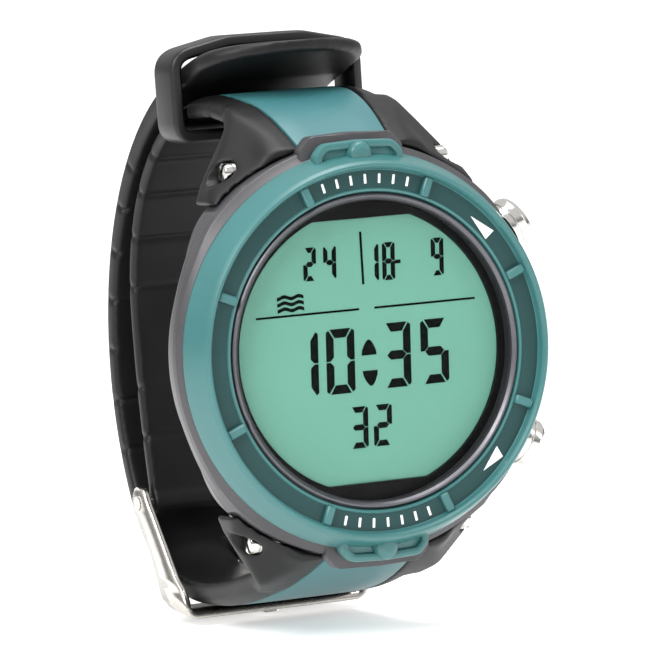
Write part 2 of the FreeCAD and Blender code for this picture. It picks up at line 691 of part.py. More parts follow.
def strap_arcs():
    """The outer faces of both straps as chains of (centre, radius, first angle, last angle)."""
    crest = (size("strap_centre_depth"), size("strap_centre_rise"))
    radius = size("upper_strap_radius")
    ramp_end, ramp_radius, tail_radius = 122.0, 150.0, 135.0
    ramp = next_centre(crest, radius, ramp_end, ramp_radius)
    ramp_start = math.degrees(math.acos((size("strap_root_depth") - ramp[0]) / ramp_radius))
    tail = next_centre(crest, radius, 0.0, tail_radius)
    upper_end = math.degrees(math.asin((size("pin_rise") - tail[1]) / (tail_radius - 1.5)))
    upper = [(ramp, ramp_radius, ramp_start, ramp_end), (crest, radius, ramp_end, 0.0),
             (tail, tail_radius, 0.0, upper_end)]

    sweep = (size("long_centre_depth"), size("long_centre_rise"))
    long_radius = size("lower_strap_radius")
    heel_angle, heel_radius, sole_radius = -26.0, 21.6, 63.9
    tip_angle, tip_radius, tip_end = 64.0, 50.0, 89.0
    heel = next_centre(sweep, long_radius, heel_angle, heel_radius)
    sole = next_centre(heel, heel_radius, -90.0, sole_radius)
    sole_start = -math.degrees(math.acos((size("strap_root_depth") - sole[0]) / sole_radius))
    tip = next_centre(sweep, long_radius, tip_angle, tip_radius)
    lower = [(sole, sole_radius, sole_start, -90.0), (heel, heel_radius, -90.0, heel_angle),
             (sweep, long_radius, heel_angle, tip_angle), (tip, tip_radius, tip_angle, tip_end)]
    return upper, lower


def hug_tool():
    """The round room that both straps leave for the case."""
    return Part.makeCylinder(size("shoulder_hug_radius"), 20, Vector(0, front(0), 0), Vector(0, 1, 0))


def outer_rise(arcs, depth, sign):
    """The height of a strap's outer face at a depth."""
    for centre, radius, _first, last in arcs:
        if depth <= centre[0] + radius * math.cos(math.radians(last)):
            return centre[1] + sign * math.sqrt(radius ** 2 - (depth - centre[0]) ** 2)
    raise ValueError("no strap face at depth %.1f" % depth)


def shoulder(sign, arcs):
    """The wide root of a strap: it hugs the case, takes the lug bar and has two slanted cheeks."""
    outline = [(17.3, 18.4), (17.8, 18.9), (16.75, 21.1), (15.65, 22.85), (14.6, 24.5), (13.5, 26.2),
               (12.6, 27.8), (11.6, 29.4), (size("strap_half_width"), 31.0)]
    plan = [(across, sign * rise) for across, rise in mirrored(outline)]
    root, back = size("strap_root_depth"), size("shoulder_back_depth")
    blank = front_prism(plan, root, back).cut(hug_tool())
    face = [(depth, outer_rise(arcs, depth, sign)) for depth in (root, 8.0, 10.0, 12.5, 15.0, back)]
    under = [(back, sign * 27.5), (14.8, sign * 24.6), (13.0, sign * 22.0), (12.0, sign * 17.0),
             (root, sign * 17.0)]
    blank = blank.common(side_prism(face + under, -20, 20))
    for way in (1, -1):
        corner, horn, edge = [Vector(way * across, front(depth), sign * rise) for across, depth, rise in
                              ((8.5, root, 24.6), (17.5, 7.2, 18.9), (11.0, 10.5, 26.5))]
        outward = (horn - corner).cross(edge - corner)
        if outward.y > 0:
            outward = -outward
        cheek = Part.makeBox(60, 60, 30, Vector(-30, -30, 0))
        cheek.Placement = Placement(corner, Rotation(Vector(0, 0, 1), outward))
        blank = blank.cut(cheek)
    return blank


def bar_holes(sign):
    """The lug bar's hole and its two screw-head seats."""
    spot = side_point((size("bar_depth"), sign * size("bar_rise")))
    hole = Part.makeCylinder(size("bar_radius") + 0.05, 40, spot - Vector(20, 0, 0), Vector(1, 0, 0))
    seat = size("strap_screw_seat")
    for way in (1, -1):
        head = Part.makeCylinder(size("strap_screw_radius") + 0.25, 6, spot + Vector(way * seat, 0, 0),
                                 Vector(way, 0, 0))
        hole = hole.fuse(head)
    return hole


def insert_solid(arcs, last_angle, ease=0.0):
    """A coloured insert under the outer face, widening away from the case, or its recess with an ease."""
    kept = []
    for centre, radius, first, last in arcs:
        low, high = sorted((first, last))
        if low < last_angle < high:
            kept.append((centre, radius, first, last_angle))
            break
        kept.append((centre, radius, first, last))
    band = arc_band(kept, 0, size("insert_thick") + ease, 9).cut(hug_tool())
    start = size("strap_root_depth") - 2
    plan = mirrored([(size("insert_half_start") + ease, start), (size("insert_half_end") + ease, 20),
                     (size("insert_half_end") + ease, 45)])
    return band.common(plan_prism(plan, -50, 50))


def make_upper_strap(arcs):
    """Short strap: shoulders, arched band and the end loop that holds the buckle pin."""
    half = size("strap_half_width")
    thick = size("upper_strap_thick")
    band = arc_band(arcs, 0, thick, half)
    band = band.cut(hug_tool())
    band = bevel_edges(band, arcs)
    insert = insert_solid(arcs, 84.0)
    pin = side_point((size("pin_depth"), size("pin_rise")))
    loop = Part.makeCylinder(thick / 2 + 0.35, 2 * half, pin - Vector(half, 0, 0), Vector(1, 0, 0))
    strap = band.fuse(shoulder(1, arcs)).fuse(loop).removeSplitter()
    strap = strap.cut(bar_holes(1)).cut(insert_solid(arcs, 84.0, 0.03))
    pin_hole = Part.makeCylinder(size("pin_radius"), 40, pin - Vector(20, 0, 0), Vector(1, 0, 0))
    slot = Part.makeBox(2 * size("tongue_half_width") + 0.8, 8, 6.2,
                        pin + Vector(-size("tongue_half_width") - 0.4, -4, -3.4))
    strap = strap.cut(pin_hole).cut(slot)
    keep(feature("upper_strap", strap), "upper_strap")
    keep(feature("upper_insert", insert), "upper_insert")


def make_lower_strap(arcs):
    """Long strap: shoulders, band through the buckle and keeper, oval holes and a rounded tip."""
    half = size("strap_half_width")
    thick = size("lower_strap_thick")
    band = arc_band(arcs, 0, thick, half)
    band = band.cut(hug_tool())
    tip_round, tip_length = 25.6, 7.4
    corner = Part.makeBox(2 * half + 2, tip_round - 10, 14, Vector(-half - 1, front(10), 29))
    ellipse = Part.Ellipse(Vector(0, front(tip_round), 29), half, tip_length).toShape()
    nose = Part.Face(Part.Wire(ellipse)).extrude(Vector(0, 0, 14))
    band = band.cut(corner.cut(nose))
    slim = [(36.0, 29.0), (30.0, 32.9), (24.0, 34.9), (17.0, 36.0), (17.0, 29.0)]
    band = band.cut(side_prism(slim, -half - 1, half + 1))
    band = bevel_edges(band, arcs)
    centre, radius = arcs[2][:2]
    strap = band.fuse(shoulder(-1, arcs)).removeSplitter()
    insert = insert_solid(arcs, -96.0)
    strap = strap.cut(bar_holes(-1)).cut(insert_solid(arcs, -96.0, 0.03))
    hole_half = size("hole_half_width")
    for index in range(7):
        angle = -12.0 + 10.0 * index
        strap = strap.cut(strap_hole(centre, radius, angle, hole_half))
    pin = (size("pin_depth"), size("pin_rise"))
    sweep = [on_arc(pin, *spot) for spot in ((3, 235.5), (20, 235.5), (20, 250), (20, 272), (3, 272))]
    strap = strap.cut(side_prism(sweep, -hole_half, hole_half))
    keep(feature("lower_strap", strap), "lower_strap")
    keep(feature("lower_insert", insert), "lower_insert")


def strap_hole(centre, radius, degrees, half):
    """An oval hole square to the strap."""
    tool = Part.makeCylinder(half, 8, Vector(0, 0, -6), Vector(0, 0, 1))
    twin = tool.translated(Vector(0, 1.2, 0))
    bridge = Part.makeBox(2 * half, 1.2, 8, Vector(-half, 0, -6))
    tool = tool.fuse(twin).fuse(bridge)
    spot = on_arc(centre, radius, degrees)
    tool.Placement = Placement(side_point(spot), Rotation(Vector(1, 0, 0), degrees - 90))
    return tool


def make_lug_hardware(name, sign):
    """A threaded tube through the case and a slotted screw at each end."""
    bar_reach = size("strap_screw_seat") - 0.02
    rise = "%d * bar_rise" % sign
    keep(cut(name + "_lug_tube_shape",
             cross_bar(name + "_tube_outer", "bar_radius", "strap_screw_seat - 0.02", "bar_depth", rise),
             cross_bar(name + "_tube_bore", "0.7", "strap_screw_seat + 1", "bar_depth", rise)),
         name + "_lug_tube")
    screws = []
    spot = side_point((size("bar_depth"), sign * size("bar_rise")))
    for way in (1, -1):
        outward = Vector(way, 0, 0)
        seat = spot + outward * (bar_reach + 0.02)
        head = Part.makeCylinder(size("strap_screw_radius"), 1.2, seat, outward)
        shank = Part.makeCylinder(0.67, 4.5, spot + outward * (bar_reach - 4.3), outward)
        slot = Part.makeBox(1.2, 0.6, 5, spot + Vector(way * (bar_reach + 1.3) - 0.6, -0.3, -2.5))
        slot.rotate(spot, Vector(1, 0, 0), 28 * sign)
        screws.append(head.fuse(shank).cut(slot))
    keep(feature(name + "_strap_screws", Part.makeCompound(screws)), name + "_strap_screws")


# ---------------------------------------------------------------- buckle and keeper

def make_buckle():
    """Bent steel frame, its pin, and the tongue that goes through the long strap."""
    half = size("buckle_half_width")
    gauge = size("buckle_gauge")
    pin_at = (size("pin_depth"), size("pin_rise"))
    pin = side_point(pin_at)
    outline = [(pin_at[0] - 1.9, -19.1), (38.4, -29.4), (35.9, -31.0), (35.3, -34.1), (40.4, -33.65),
               (43.3, -31.4), (45.4, -27.4), (pin_at[0] + 1.9, -21.4)]
    frame = None
    for low in (-half, half - gauge):
        eye = Part.makeCylinder(2.2, gauge, pin + Vector(low, 0, 0), Vector(1, 0, 0))
        arm = side_prism(outline, low, low + gauge).fuse(eye)
        frame = arm if frame is None else frame.fuse(arm)
    plate = [(35.3, -34.1), (35.3, -33.2), (40.4, -32.75), (40.4, -33.65)]
    frame = frame.fuse(side_prism(plate, -half, half)).removeSplitter()
    hole = Part.makeCylinder(size("pin_radius") + 0.05, 40, pin - Vector(20, 0, 0), Vector(1, 0, 0))
    keep(feature("buckle_frame", frame.cut(hole)), "buckle_frame")
    keep(cross_bar("buckle_pin", "pin_radius", "buckle_half_width + 0.1", "pin_depth", "pin_rise"),
         "buckle_pin")

    width = size("tongue_half_width")
    eye = Part.makeCylinder(1.75, 2 * width, pin - Vector(width, 0, 0), Vector(1, 0, 0))
    blade = [(pin_at[0] - 0.9, pin_at[1] - 1.2), (40.8, -33.2), (40.5, -33.75), (37.6, -34.0),
             (37.6, -34.7), (41.0, -34.4), (41.8, -33.6), (pin_at[0] + 0.3, pin_at[1] - 1.6)]
    tongue = eye.fuse(side_prism(blade, -width, width)).removeSplitter()
    bore = Part.makeCylinder(size("pin_radius") + 0.06, 40, pin - Vector(20, 0, 0), Vector(1, 0, 0))
    keep(feature("buckle_tongue", tongue.cut(bore)), "buckle_tongue")


def make_keeper():
    """Hard rubber loop that holds the tail of the long strap."""
    half = size("keeper_half_width")
    outer = [(half - 1.4, 25.6), (half, 27.0), (half, 36.1), (half - 3.0, 37.7), (5.0, 38.6)]
    inner = [(half - 2.0, 26.9), (half - 1.6, 27.3), (half - 1.6, 35.6), (9.0, 36.7), (5.0, 37.3)]
    start = size("keeper_front_depth")
    end = size("keeper_back_depth")
    loop = front_prism(mirrored(outer), start, end)
    room = front_prism(mirrored(inner), start - 1, end + 1)
    keep(feature("keeper", loop.cut(room)), "keeper")


# ---------------------------------------------------------------- build, check and write

make_case()
make_bezel()
make_window()
make_display()
make_board()
make_back()
for button_name, button_side in (("top_button", 1), ("bottom_button", -1)):
    make_button(button_name, button_side)
upper_arcs, lower_arcs = strap_arcs()
make_upper_strap(upper_arcs)
make_lower_strap(lower_arcs)
make_lug_hardware("upper", 1)
make_lug_hardware("lower", -1)
make_buckle()
make_keeper()
doc.recompute()

for item in doc.Objects:
    if any(word in item.State for word in ("Invalid", "Error")):
        raise RuntimeError("%s failed: %s" % (item.Name, item.State))
for item in made:
    if item.Shape.isNull() or not item.Shape.isValid():
        raise RuntimeError("%s has a bad shape" % item.Label)
    item.Shape.exportStep("parts/%s.step" % item.Label)
print("%d sub-parts written" % len(made))
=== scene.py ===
"""Wrist dive computer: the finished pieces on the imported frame.

Millimetres are used while a shape is worked out: across (3 o'clock is +), depth behind the
bezel's front rim, and rise (12 o'clock is +). place() turns them into the frame's metres.
"""
import math

import bmesh
import bpy
from bpy.props import FloatProperty, FloatVectorProperty, IntProperty, PointerProperty
from mathutils import Matrix, Vector


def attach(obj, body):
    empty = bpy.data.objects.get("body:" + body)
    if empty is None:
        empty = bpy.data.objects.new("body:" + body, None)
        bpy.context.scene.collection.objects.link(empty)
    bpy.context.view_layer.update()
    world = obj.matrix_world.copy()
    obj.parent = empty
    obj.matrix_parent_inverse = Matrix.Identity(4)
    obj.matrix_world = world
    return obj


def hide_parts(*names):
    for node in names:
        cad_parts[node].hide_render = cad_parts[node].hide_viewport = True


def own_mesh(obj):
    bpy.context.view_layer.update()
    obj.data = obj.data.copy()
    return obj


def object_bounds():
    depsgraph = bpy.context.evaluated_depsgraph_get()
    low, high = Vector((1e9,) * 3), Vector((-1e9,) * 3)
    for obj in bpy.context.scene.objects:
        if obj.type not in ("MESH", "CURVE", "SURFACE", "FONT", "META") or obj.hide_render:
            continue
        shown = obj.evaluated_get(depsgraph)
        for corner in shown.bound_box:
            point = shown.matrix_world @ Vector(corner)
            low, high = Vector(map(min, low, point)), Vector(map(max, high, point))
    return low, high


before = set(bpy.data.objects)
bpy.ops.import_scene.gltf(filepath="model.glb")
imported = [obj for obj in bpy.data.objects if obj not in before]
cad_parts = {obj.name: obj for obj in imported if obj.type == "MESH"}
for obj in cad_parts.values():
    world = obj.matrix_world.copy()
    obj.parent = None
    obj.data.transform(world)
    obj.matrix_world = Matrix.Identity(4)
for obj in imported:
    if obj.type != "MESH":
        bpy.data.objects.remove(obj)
cad_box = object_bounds()

bl_info = {
    "name": "Wrist Dive Computer",
    "version": (1, 0, 0),
    "blender": (4, 5, 0),
    "location": "3D View > Sidebar > Dive Computer",
    "description": "Builds the case, bezel, display, straps, buckle and studio of a wrist dive computer",
    "category": "Add Mesh",
}

BACK_DEPTH = 16.0          # depth of the flat back, where the frame's origin is
CREST = (24.5, 4.0)        # centre of the short strap's arch, as (depth, rise)
SWEEP = (20.7, -3.1)       # centre of the long strap's arch
PIN = (48.24, -20.2)       # the buckle pin
BAR = (9.8, 22.3)          # the lug tubes: depth, and rise at 12 and at 6
BUTTON_DEPTH = 7.6         # the buttons' axis
BUTTON_ANGLE = 31.5        # the buttons' angle above and below 3 o'clock
SCREW_CIRCLE = 19.4        # radius of the circle that the four rear screws lie on
STRAP_HALF = 11.0          # half the straps' width
HUG_RADIUS = 25.1          # room that the straps leave for the case
PIN_SPOT = Vector((0, PIN[0] - BACK_DEPTH, PIN[1]))
SIDEWAYS = Vector((1, 0, 0))
BACKWARDS = Vector((0, 1, 0))


# ---------------------------------------------------------------- sizes and colours

def linear(text):
    """An sRGB hex colour as linear red, green, blue and alpha."""
    parts = [int(text[index:index + 2], 16) / 255 for index in (1, 3, 5)]
    curve = (part / 12.92 if part <= 0.04045 else ((part + 0.055) / 1.055) ** 2.4 for part in parts)
    return (*curve, 1.0)


def shade(colour, amount):
    """A linear colour made lighter or darker."""
    return tuple(min(part * amount, 1.0) for part in colour[:3]) + (1.0,)


def colour_property(name, description, text):
    return FloatVectorProperty(name=name, description=description, default=linear(text), size=4,
                               subtype="COLOR", min=0.0, max=1.0)


class DiveComputerSizes(bpy.types.PropertyGroup):
    rib_count: IntProperty(name="Bezel Ribs", description="Bars that divide the bezel's channel",
                           default=8, min=3, max=24)
    rib_width: FloatProperty(name="Rib Width", description="Width of one bar", default=0.00105,
                             unit="LENGTH", subtype="DISTANCE")
    mark_count: IntProperty(name="Bezel Marks", description="Printed marks at 12 and at 6",
                            default=7, min=1, max=15)
    hole_count: IntProperty(name="Strap Holes", description="Oval holes in the long strap",
                            default=7, min=1, max=12)
    groove_pitch: FloatProperty(name="Groove Pitch", description="Distance between the cross grooves",
                                default=0.0064, unit="LENGTH", subtype="DISTANCE")
    rubber_voxel: FloatProperty(name="Rubber Detail", description="Mesh size of the moulded straps",
                                default=0.00031, unit="LENGTH", subtype="DISTANCE")


class DiveComputerColours(bpy.types.PropertyGroup):
    case: colour_property("Case", "Satin dark grey of the case", "#353437")
    bezel: colour_property("Bezel", "Blue green of the bezel", "#336464")
    insert: colour_property("Insert", "Blue green of the strap inserts", "#2f6367")
    strap: colour_property("Strap", "Near black of the straps", "#0e0e0f")
    keeper: colour_property("Keeper", "Dark grey of the keeper", "#161618")
    display: colour_property("Display", "Green of the reflective display", "#619c89")
    digits: colour_property("Digits", "Near black of the switched-on segments", "#070c0b")
    print: colour_property("Print", "White of the printed marks", "#f1f3f2")


def sizes():
    return bpy.context.scene.dive_sizes


def colours():
    return bpy.context.scene.dive_colours


# ---------------------------------------------------------------- mesh tools

def place(across, depth, rise):
    return Vector((across, depth - BACK_DEPTH, rise)) / 1000


def object_from(name, points, faces):
    """A closed mesh object with merged doubles and its faces turned outwards."""
    mesh = bpy.data.meshes.new(name)
    work = bmesh.new()
    spots = [work.verts.new(point) for point in points]
    for face in faces:
        work.faces.new([spots[index] for index in face])
    bmesh.ops.remove_doubles(work, verts=work.verts, dist=2e-7)
    bmesh.ops.dissolve_degenerate(work, edges=work.edges, dist=1e-7)
    for edge in [edge for edge in work.edges if not edge.link_faces]:
        work.edges.remove(edge)
    bmesh.ops.recalc_face_normals(work, faces=work.faces)
    work.to_mesh(mesh)
    work.free()
    item = bpy.data.objects.new(name, mesh)
    bpy.context.scene.collection.objects.link(item)
    return item


def baked(item):
    """The object with its modifiers turned into a plain mesh."""
    view = bpy.context.evaluated_depsgraph_get()
    mesh = bpy.data.meshes.new_from_object(item.evaluated_get(view))
    item.modifiers.clear()
    item.data = mesh
    return item


def joined(name, items):
    """One object from several; the others go."""
    work = bmesh.new()
    for item in items:
        work.from_mesh(item.data)
        bpy.data.objects.remove(item)
    mesh = bpy.data.meshes.new(name)
    work.to_mesh(mesh)
    work.free()
    item = bpy.data.objects.new(name, mesh)
    bpy.context.scene.collection.objects.link(item)
    return item


def carved(item, *tools, operation="DIFFERENCE"):
    """The object with closed tools taken away, or kept where it meets them."""
    for tool in tools:
        step = item.modifiers.new("carve", "BOOLEAN")
        step.operation = operation
        step.solver = "EXACT"
        step.object = tool
    baked(item)
    for tool in tools:
        bpy.data.objects.remove(tool)
    if not item.data.polygons:
        raise RuntimeError("%s came out empty" % item.name)
    return item


def finished(item, material, body, nodes=(), angle=32):
    """Material, shading, and the body that the piece rides on."""
    item.data.materials.clear()
    item.data.materials.append(material)
    item.data.shade_smooth()
    item.data.set_sharp_from_angle(angle=math.radians(angle))
    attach(item, body)
    if nodes:
        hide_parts(*nodes)
    return item


def rounded(corners, steps=4):
    """A closed outline with each (a, b, radius) corner eased."""
    outline = []
    for index, (a, b, radius) in enumerate(corners):
        here = Vector((a, b))
        before = Vector(corners[index - 1][:2]) - here
        after = Vector(corners[(index + 1) % len(corners)][:2]) - here
        if radius <= 0:
            outline.append(here)
            continue
        half = before.angle(after) / 2
        reach = min(radius / max(math.tan(half), 0.05), before.length * 0.48, after.length * 0.48)
        start = here + before.normalized() * reach
        end = here + after.normalized() * reach
        for step in range(steps + 1):
            t = step / steps
            outline.append(start * (1 - t) ** 2 + here * 2 * t * (1 - t) + end * t ** 2)
    return outline


def lofted(name, rings, loop=False):
    """Rings of equal length joined by quads; open ends are capped."""
    count = len(rings[0])
    points = [point for ring in rings for point in ring]
    faces = []
    for index in range(len(rings) if loop else len(rings) - 1):
        base, above = index * count, (index + 1) % len(rings) * count
        faces += [(base + k, base + (k + 1) % count, above + (k + 1) % count, above + k)
                  for k in range(count)]
    if not loop:
        last = (len(rings) - 1) * count
        faces += [tuple(range(count)), tuple(range(last, last + count))]
    return object_from(name, points, faces)


def turned(name, profile, segments=160, across=0.0, rise=0.0, radius_at=None):
    """A closed (radius, depth) outline revolved about a line along the face axis."""
    rings = []
    for index in range(segments):
        angle = 2 * math.pi * index / segments
        ring = []
        for radius, depth in profile:
            reach = radius_at(radius, depth, angle) if radius_at else radius
            ring.append(place(across + reach * math.cos(angle), depth, rise + reach * math.sin(angle)))
        rings.append(ring)
    return lofted(name, rings, loop=True)


def lathe_along(name, profile, origin, way, segments=64):
    """A closed (radius, distance) outline revolved about any line."""
    turn = Vector(way).to_track_quat("Z", "Y").to_matrix()
    rings = []
    for index in range(segments):
        angle = 2 * math.pi * index / segments
        rings.append([(Vector(origin) + turn @ Vector((radius * math.cos(angle), radius * math.sin(angle),
                                                       along))) for radius, along in profile])
    rings = [[point / 1000 for point in ring] for ring in rings]
    return lofted(name, rings, loop=True)


def slab(name, outline, front, back, ease=0.0):
    """A plate with an (across, rise) outline between two depths, its edges eased."""
    middle = sum((Vector(spot) for spot in outline), Vector((0, 0))) / len(outline)
    rings = []
    levels = [(front, ease), (front + ease * 0.3, ease * 0.3), (front + ease, 0), (back - ease, 0),
              (back - ease * 0.3, ease * 0.3), (back, ease)] if ease else [(front, 0), (back, 0)]
    for depth, inset in levels:
        ring = []
        for spot in outline:
            away = Vector(spot) - middle
            away = away - away.normalized() * inset
            ring.append(place(middle.x + away.x, depth, middle.y + away.y))
        rings.append(ring)
    return lofted(name, rings)


def on_arc(centre, radius, degrees):
    angle = math.radians(degrees)
    return (centre[0] + radius * math.cos(angle), centre[1] + radius * math.sin(angle))


def strap_arcs():
    """Outer faces of both straps as chains of (centre, radius, first angle, last angle)."""
    ramp = on_arc(CREST, 27.4 - 150.0, 122.0)
    ramp_start = math.degrees(math.acos((5.9 - ramp[0]) / 150.0))
    tail = on_arc(CREST, 27.4 - 135.0, 0.0)
    upper_end = math.degrees(math.asin((PIN[1] - tail[1]) / 133.5))
    upper = [(ramp, 150.0, ramp_start, 122.0), (CREST, 27.4, 122.0, 0.0), (tail, 135.0, 0.0, upper_end)]
    heel = on_arc(SWEEP, 39.6 - 21.6, -26.0)
    sole = on_arc(heel, 21.6 - 63.9, -90.0)
    sole_start = -math.degrees(math.acos((5.9 - sole[0]) / 63.9))
    tip = on_arc(SWEEP, 39.6 - 50.0, 64.0)
    lower = [(sole, 63.9, sole_start, -90.0), (heel, 21.6, -90.0, -26.0), (SWEEP, 39.6, -26.0, 64.0),
             (tip, 50.0, 64.0, 89.0)]
    return upper, lower


def stations(arcs, pitch=0.9):
    """(depth, rise, angle, way along) of points on a chain of arcs."""
    spots = []
    along = 0.0
    for centre, radius, first, last in arcs:
        length = abs(math.radians(last - first)) * radius
        count = max(2, round(length / pitch))
        for index in range(0 if not spots else 1, count + 1):
            angle = first + (last - first) * index / count
            depth, rise = on_arc(centre, radius, angle)
            spots.append((depth, rise, math.radians(angle), along + length * index / count))
        along += length
    return spots


def band(name, spots, section):
    """A strip lofted along stations; section(station) gives its (across, drop) outline."""
    rings = []
    for spot in spots:
        depth, rise, angle = spot[:3]
        rings.append([place(across, depth - drop * math.cos(angle), rise - drop * math.sin(angle))
                      for across, drop in section(spot)])
    return lofted(name, rings)


def insert_half(depth):
    """Half width of the coloured insert, which widens away from the case."""
    return 5.9 + 1.6 * min(max((depth - 3.9) / 16.1, 0.0), 1.0)


# ---------------------------------------------------------------- repeated pieces

def node(tree, kind, inputs=None, **settings):
    """Adds a node; inputs are values, or sockets to link from."""
    item = tree.nodes.new(kind)
    for key, value in settings.items():
        setattr(item, key, value)
    for key, value in (inputs or {}).items():
        if isinstance(value, bpy.types.NodeSocket):
            tree.links.new(value, item.inputs[key])
        else:
            item.inputs[key].default_value = value
    return item


def fan_tree(about):
    """Copies of a piece on an arc about the face axis (Y) or about the side axis (X)."""
    name = "fan_about_" + about
    if name in bpy.data.node_groups:
        return bpy.data.node_groups[name]
    tree = bpy.data.node_groups.new(name, "GeometryNodeTree")
    tree.interface.new_socket("Geometry", in_out="INPUT", socket_type="NodeSocketGeometry")
    for label, kind in (("Count", "NodeSocketInt"), ("Radius", "NodeSocketFloat"),
                        ("Start", "NodeSocketFloat"), ("Step", "NodeSocketFloat"),
                        ("Centre", "NodeSocketVector"), ("Material", "NodeSocketMaterial")):
        tree.interface.new_socket(label, in_out="INPUT", socket_type=kind)
    tree.interface.new_socket("Geometry", in_out="OUTPUT", socket_type="NodeSocketGeometry")
    source = node(tree, "NodeGroupInput").outputs
    row = node(tree, "GeometryNodeMeshLine", {"Count": source["Count"], "Offset": (0, 0, 0)})
    index = node(tree, "GeometryNodeInputIndex").outputs[0]
    angle = node(tree, "ShaderNodeMath", {0: index, 1: source["Step"], 2: source["Start"]},
                 operation="MULTIPLY_ADD").outputs[0]
    cosine = node(tree, "ShaderNodeMath", {0: angle}, operation="COSINE").outputs[0]
    sine = node(tree, "ShaderNodeMath", {0: angle}, operation="SINE").outputs[0]
    first = node(tree, "ShaderNodeMath", {0: cosine, 1: source["Radius"]}, operation="MULTIPLY").outputs[0]
    second = node(tree, "ShaderNodeMath", {0: sine, 1: source["Radius"]}, operation="MULTIPLY").outputs[0]
    if about == "Y":
        offset = node(tree, "ShaderNodeCombineXYZ", {"X": first, "Z": second}).outputs[0]
        back = node(tree, "ShaderNodeMath", {0: angle, 1: -1.0}, operation="MULTIPLY").outputs[0]
        turn = node(tree, "ShaderNodeCombineXYZ", {"Y": back}).outputs[0]
    else:
        offset = node(tree, "ShaderNodeCombineXYZ", {"Y": first, "Z": second}).outputs[0]
        turn = node(tree, "ShaderNodeCombineXYZ", {"X": angle}).outputs[0]
    spot = node(tree, "ShaderNodeVectorMath", {0: offset, 1: source["Centre"]}, operation="ADD").outputs[0]
    moved = node(tree, "GeometryNodeSetPosition", {"Geometry": row.outputs[0], "Position": spot}).outputs[0]
    copies = node(tree, "GeometryNodeInstanceOnPoints", {"Points": moved, "Instance": source["Geometry"],
                                                         "Rotation": turn}).outputs[0]
    real = node(tree, "GeometryNodeRealizeInstances", {"Geometry": copies}).outputs[0]
    painted = node(tree, "GeometryNodeSetMaterial",
                   {"Geometry": real, "Material": source["Material"]}).outputs[0]
    node(tree, "NodeGroupOutput", {"Geometry": painted})
    return tree


def fanned(item, about, count, radius, start, step, centre=(0, 0, 0), material=None):
    """Repeats a piece made at the origin, then bakes the result to a plain mesh."""
    tree = fan_tree(about)
    step_modifier = item.modifiers.new("fan", "NODES")
    step_modifier.node_group = tree
    values = {"Count": count, "Radius": radius / 1000, "Start": math.radians(start),
              "Step": math.radians(step), "Centre": tuple(float(part) for part in centre),
              "Material": material}
    for socket in tree.interface.items_tree:
        if socket.in_out == "INPUT" and values.get(socket.name) is not None:
            step_modifier[socket.identifier] = values[socket.name]
    return baked(item)


def block_at_origin(name, size_x, size_y, size_z, ease):
    """A small bar with eased edges, centred on the origin, to be repeated."""
    outline = rounded([(-size_x / 2, -size_z / 2, ease), (size_x / 2, -size_z / 2, ease),
                       (size_x / 2, size_z / 2, ease), (-size_x / 2, size_z / 2, ease)], 2)
    rings = []
    for depth, inset in ((-size_y / 2, ease * 0.7), (-size_y / 2 + ease * 0.7, 0), (size_y / 2, 0)):
        wide, tall = 1 - 2 * inset / size_x, 1 - 2 * inset / size_z
        rings.append([Vector((spot.x * wide, depth, spot.y * tall)) / 1000 for spot in outline])
    return lofted(name, rings)


# ---------------------------------------------------------------- materials

def finish_material(name, colour, second, roughness, grain=0.12, relief=0.006, patch=6.0, **shader):
    """A surface whose tone and gloss wander a little, with a fine moulded or cut texture.

    grain and patch are sizes in millimetres, relief the texture's height in millimetres.
    """
    if name in bpy.data.materials:
        return bpy.data.materials[name]
    material = bpy.data.materials.new(name)
    material.use_nodes = True
    tree = material.node_tree
    tree.nodes.clear()
    place_in = node(tree, "ShaderNodeTexCoord").outputs["Object"]
    broad = node(tree, "ShaderNodeTexNoise", {"Vector": place_in, "Scale": 1000 / patch, "Detail": 3.0})
    fine = node(tree, "ShaderNodeTexNoise", {"Vector": place_in, "Scale": 1000 / grain, "Detail": 2.0})
    blend = node(tree, "ShaderNodeMath", {0: broad.outputs[0], 1: 0.55}, operation="MULTIPLY").outputs[0]
    tone = node(tree, "ShaderNodeMath", {0: fine.outputs[0], 1: 0.45, 2: blend},
                operation="MULTIPLY_ADD").outputs[0]
    spread = node(tree, "ShaderNodeMapRange", {"Value": tone, "From Min": 0.35, "From Max": 0.65}).outputs[0]
    paint = node(tree, "ShaderNodeMix", {0: spread, 6: colour, 7: second}, data_type="RGBA").outputs[2]
    gloss = node(tree, "ShaderNodeMapRange", {"Value": tone, "From Min": 0.3, "From Max": 0.7,
                                              "To Min": roughness - 0.05, "To Max": roughness + 0.05})
    raised = node(tree, "ShaderNodeBump", {"Height": fine.outputs[0], "Strength": 1.0,
                                           "Distance": relief / 1000}).outputs[0]
    inputs = {"Base Color": paint, "Roughness": gloss.outputs[0], "Normal": raised}
    inputs.update({key.replace("_", " "): value for key, value in shader.items()})
    body = node(tree, "ShaderNodeBsdfPrincipled", inputs)
    node(tree, "ShaderNodeOutputMaterial", {"Surface": body.outputs[0]})
    return material


def case_nylon():
    """Glass-filled nylon, injection moulded: satin dark grey with tiny pale and dark flecks."""
    return finish_material("glass_filled_nylon", colours().case, shade(colours().case, 1.5), 0.42,
                           grain=0.16, relief=0.008)


def bezel_plastic():
    """Pigmented polycarbonate, moulded: an even blue green with a soft satin sheen."""
    return finish_material("moulded_polycarbonate", colours().bezel, shade(colours().bezel, 1.16), 0.36,
                           grain=0.18,
                           relief=0.003, patch=9.0)


def channel_shade_plastic():
    """The bezel's plastic on the channel's floor, darkened as painted shade for the recessed channel, with a
    weaker specular sheen.
    """
    return finish_material("painted_channel_shade", shade(colours().bezel, 0.36),
                           shade(colours().bezel, 0.4), 0.36,
                           grain=0.2, relief=0.0, Specular_IOR_Level=0.25)


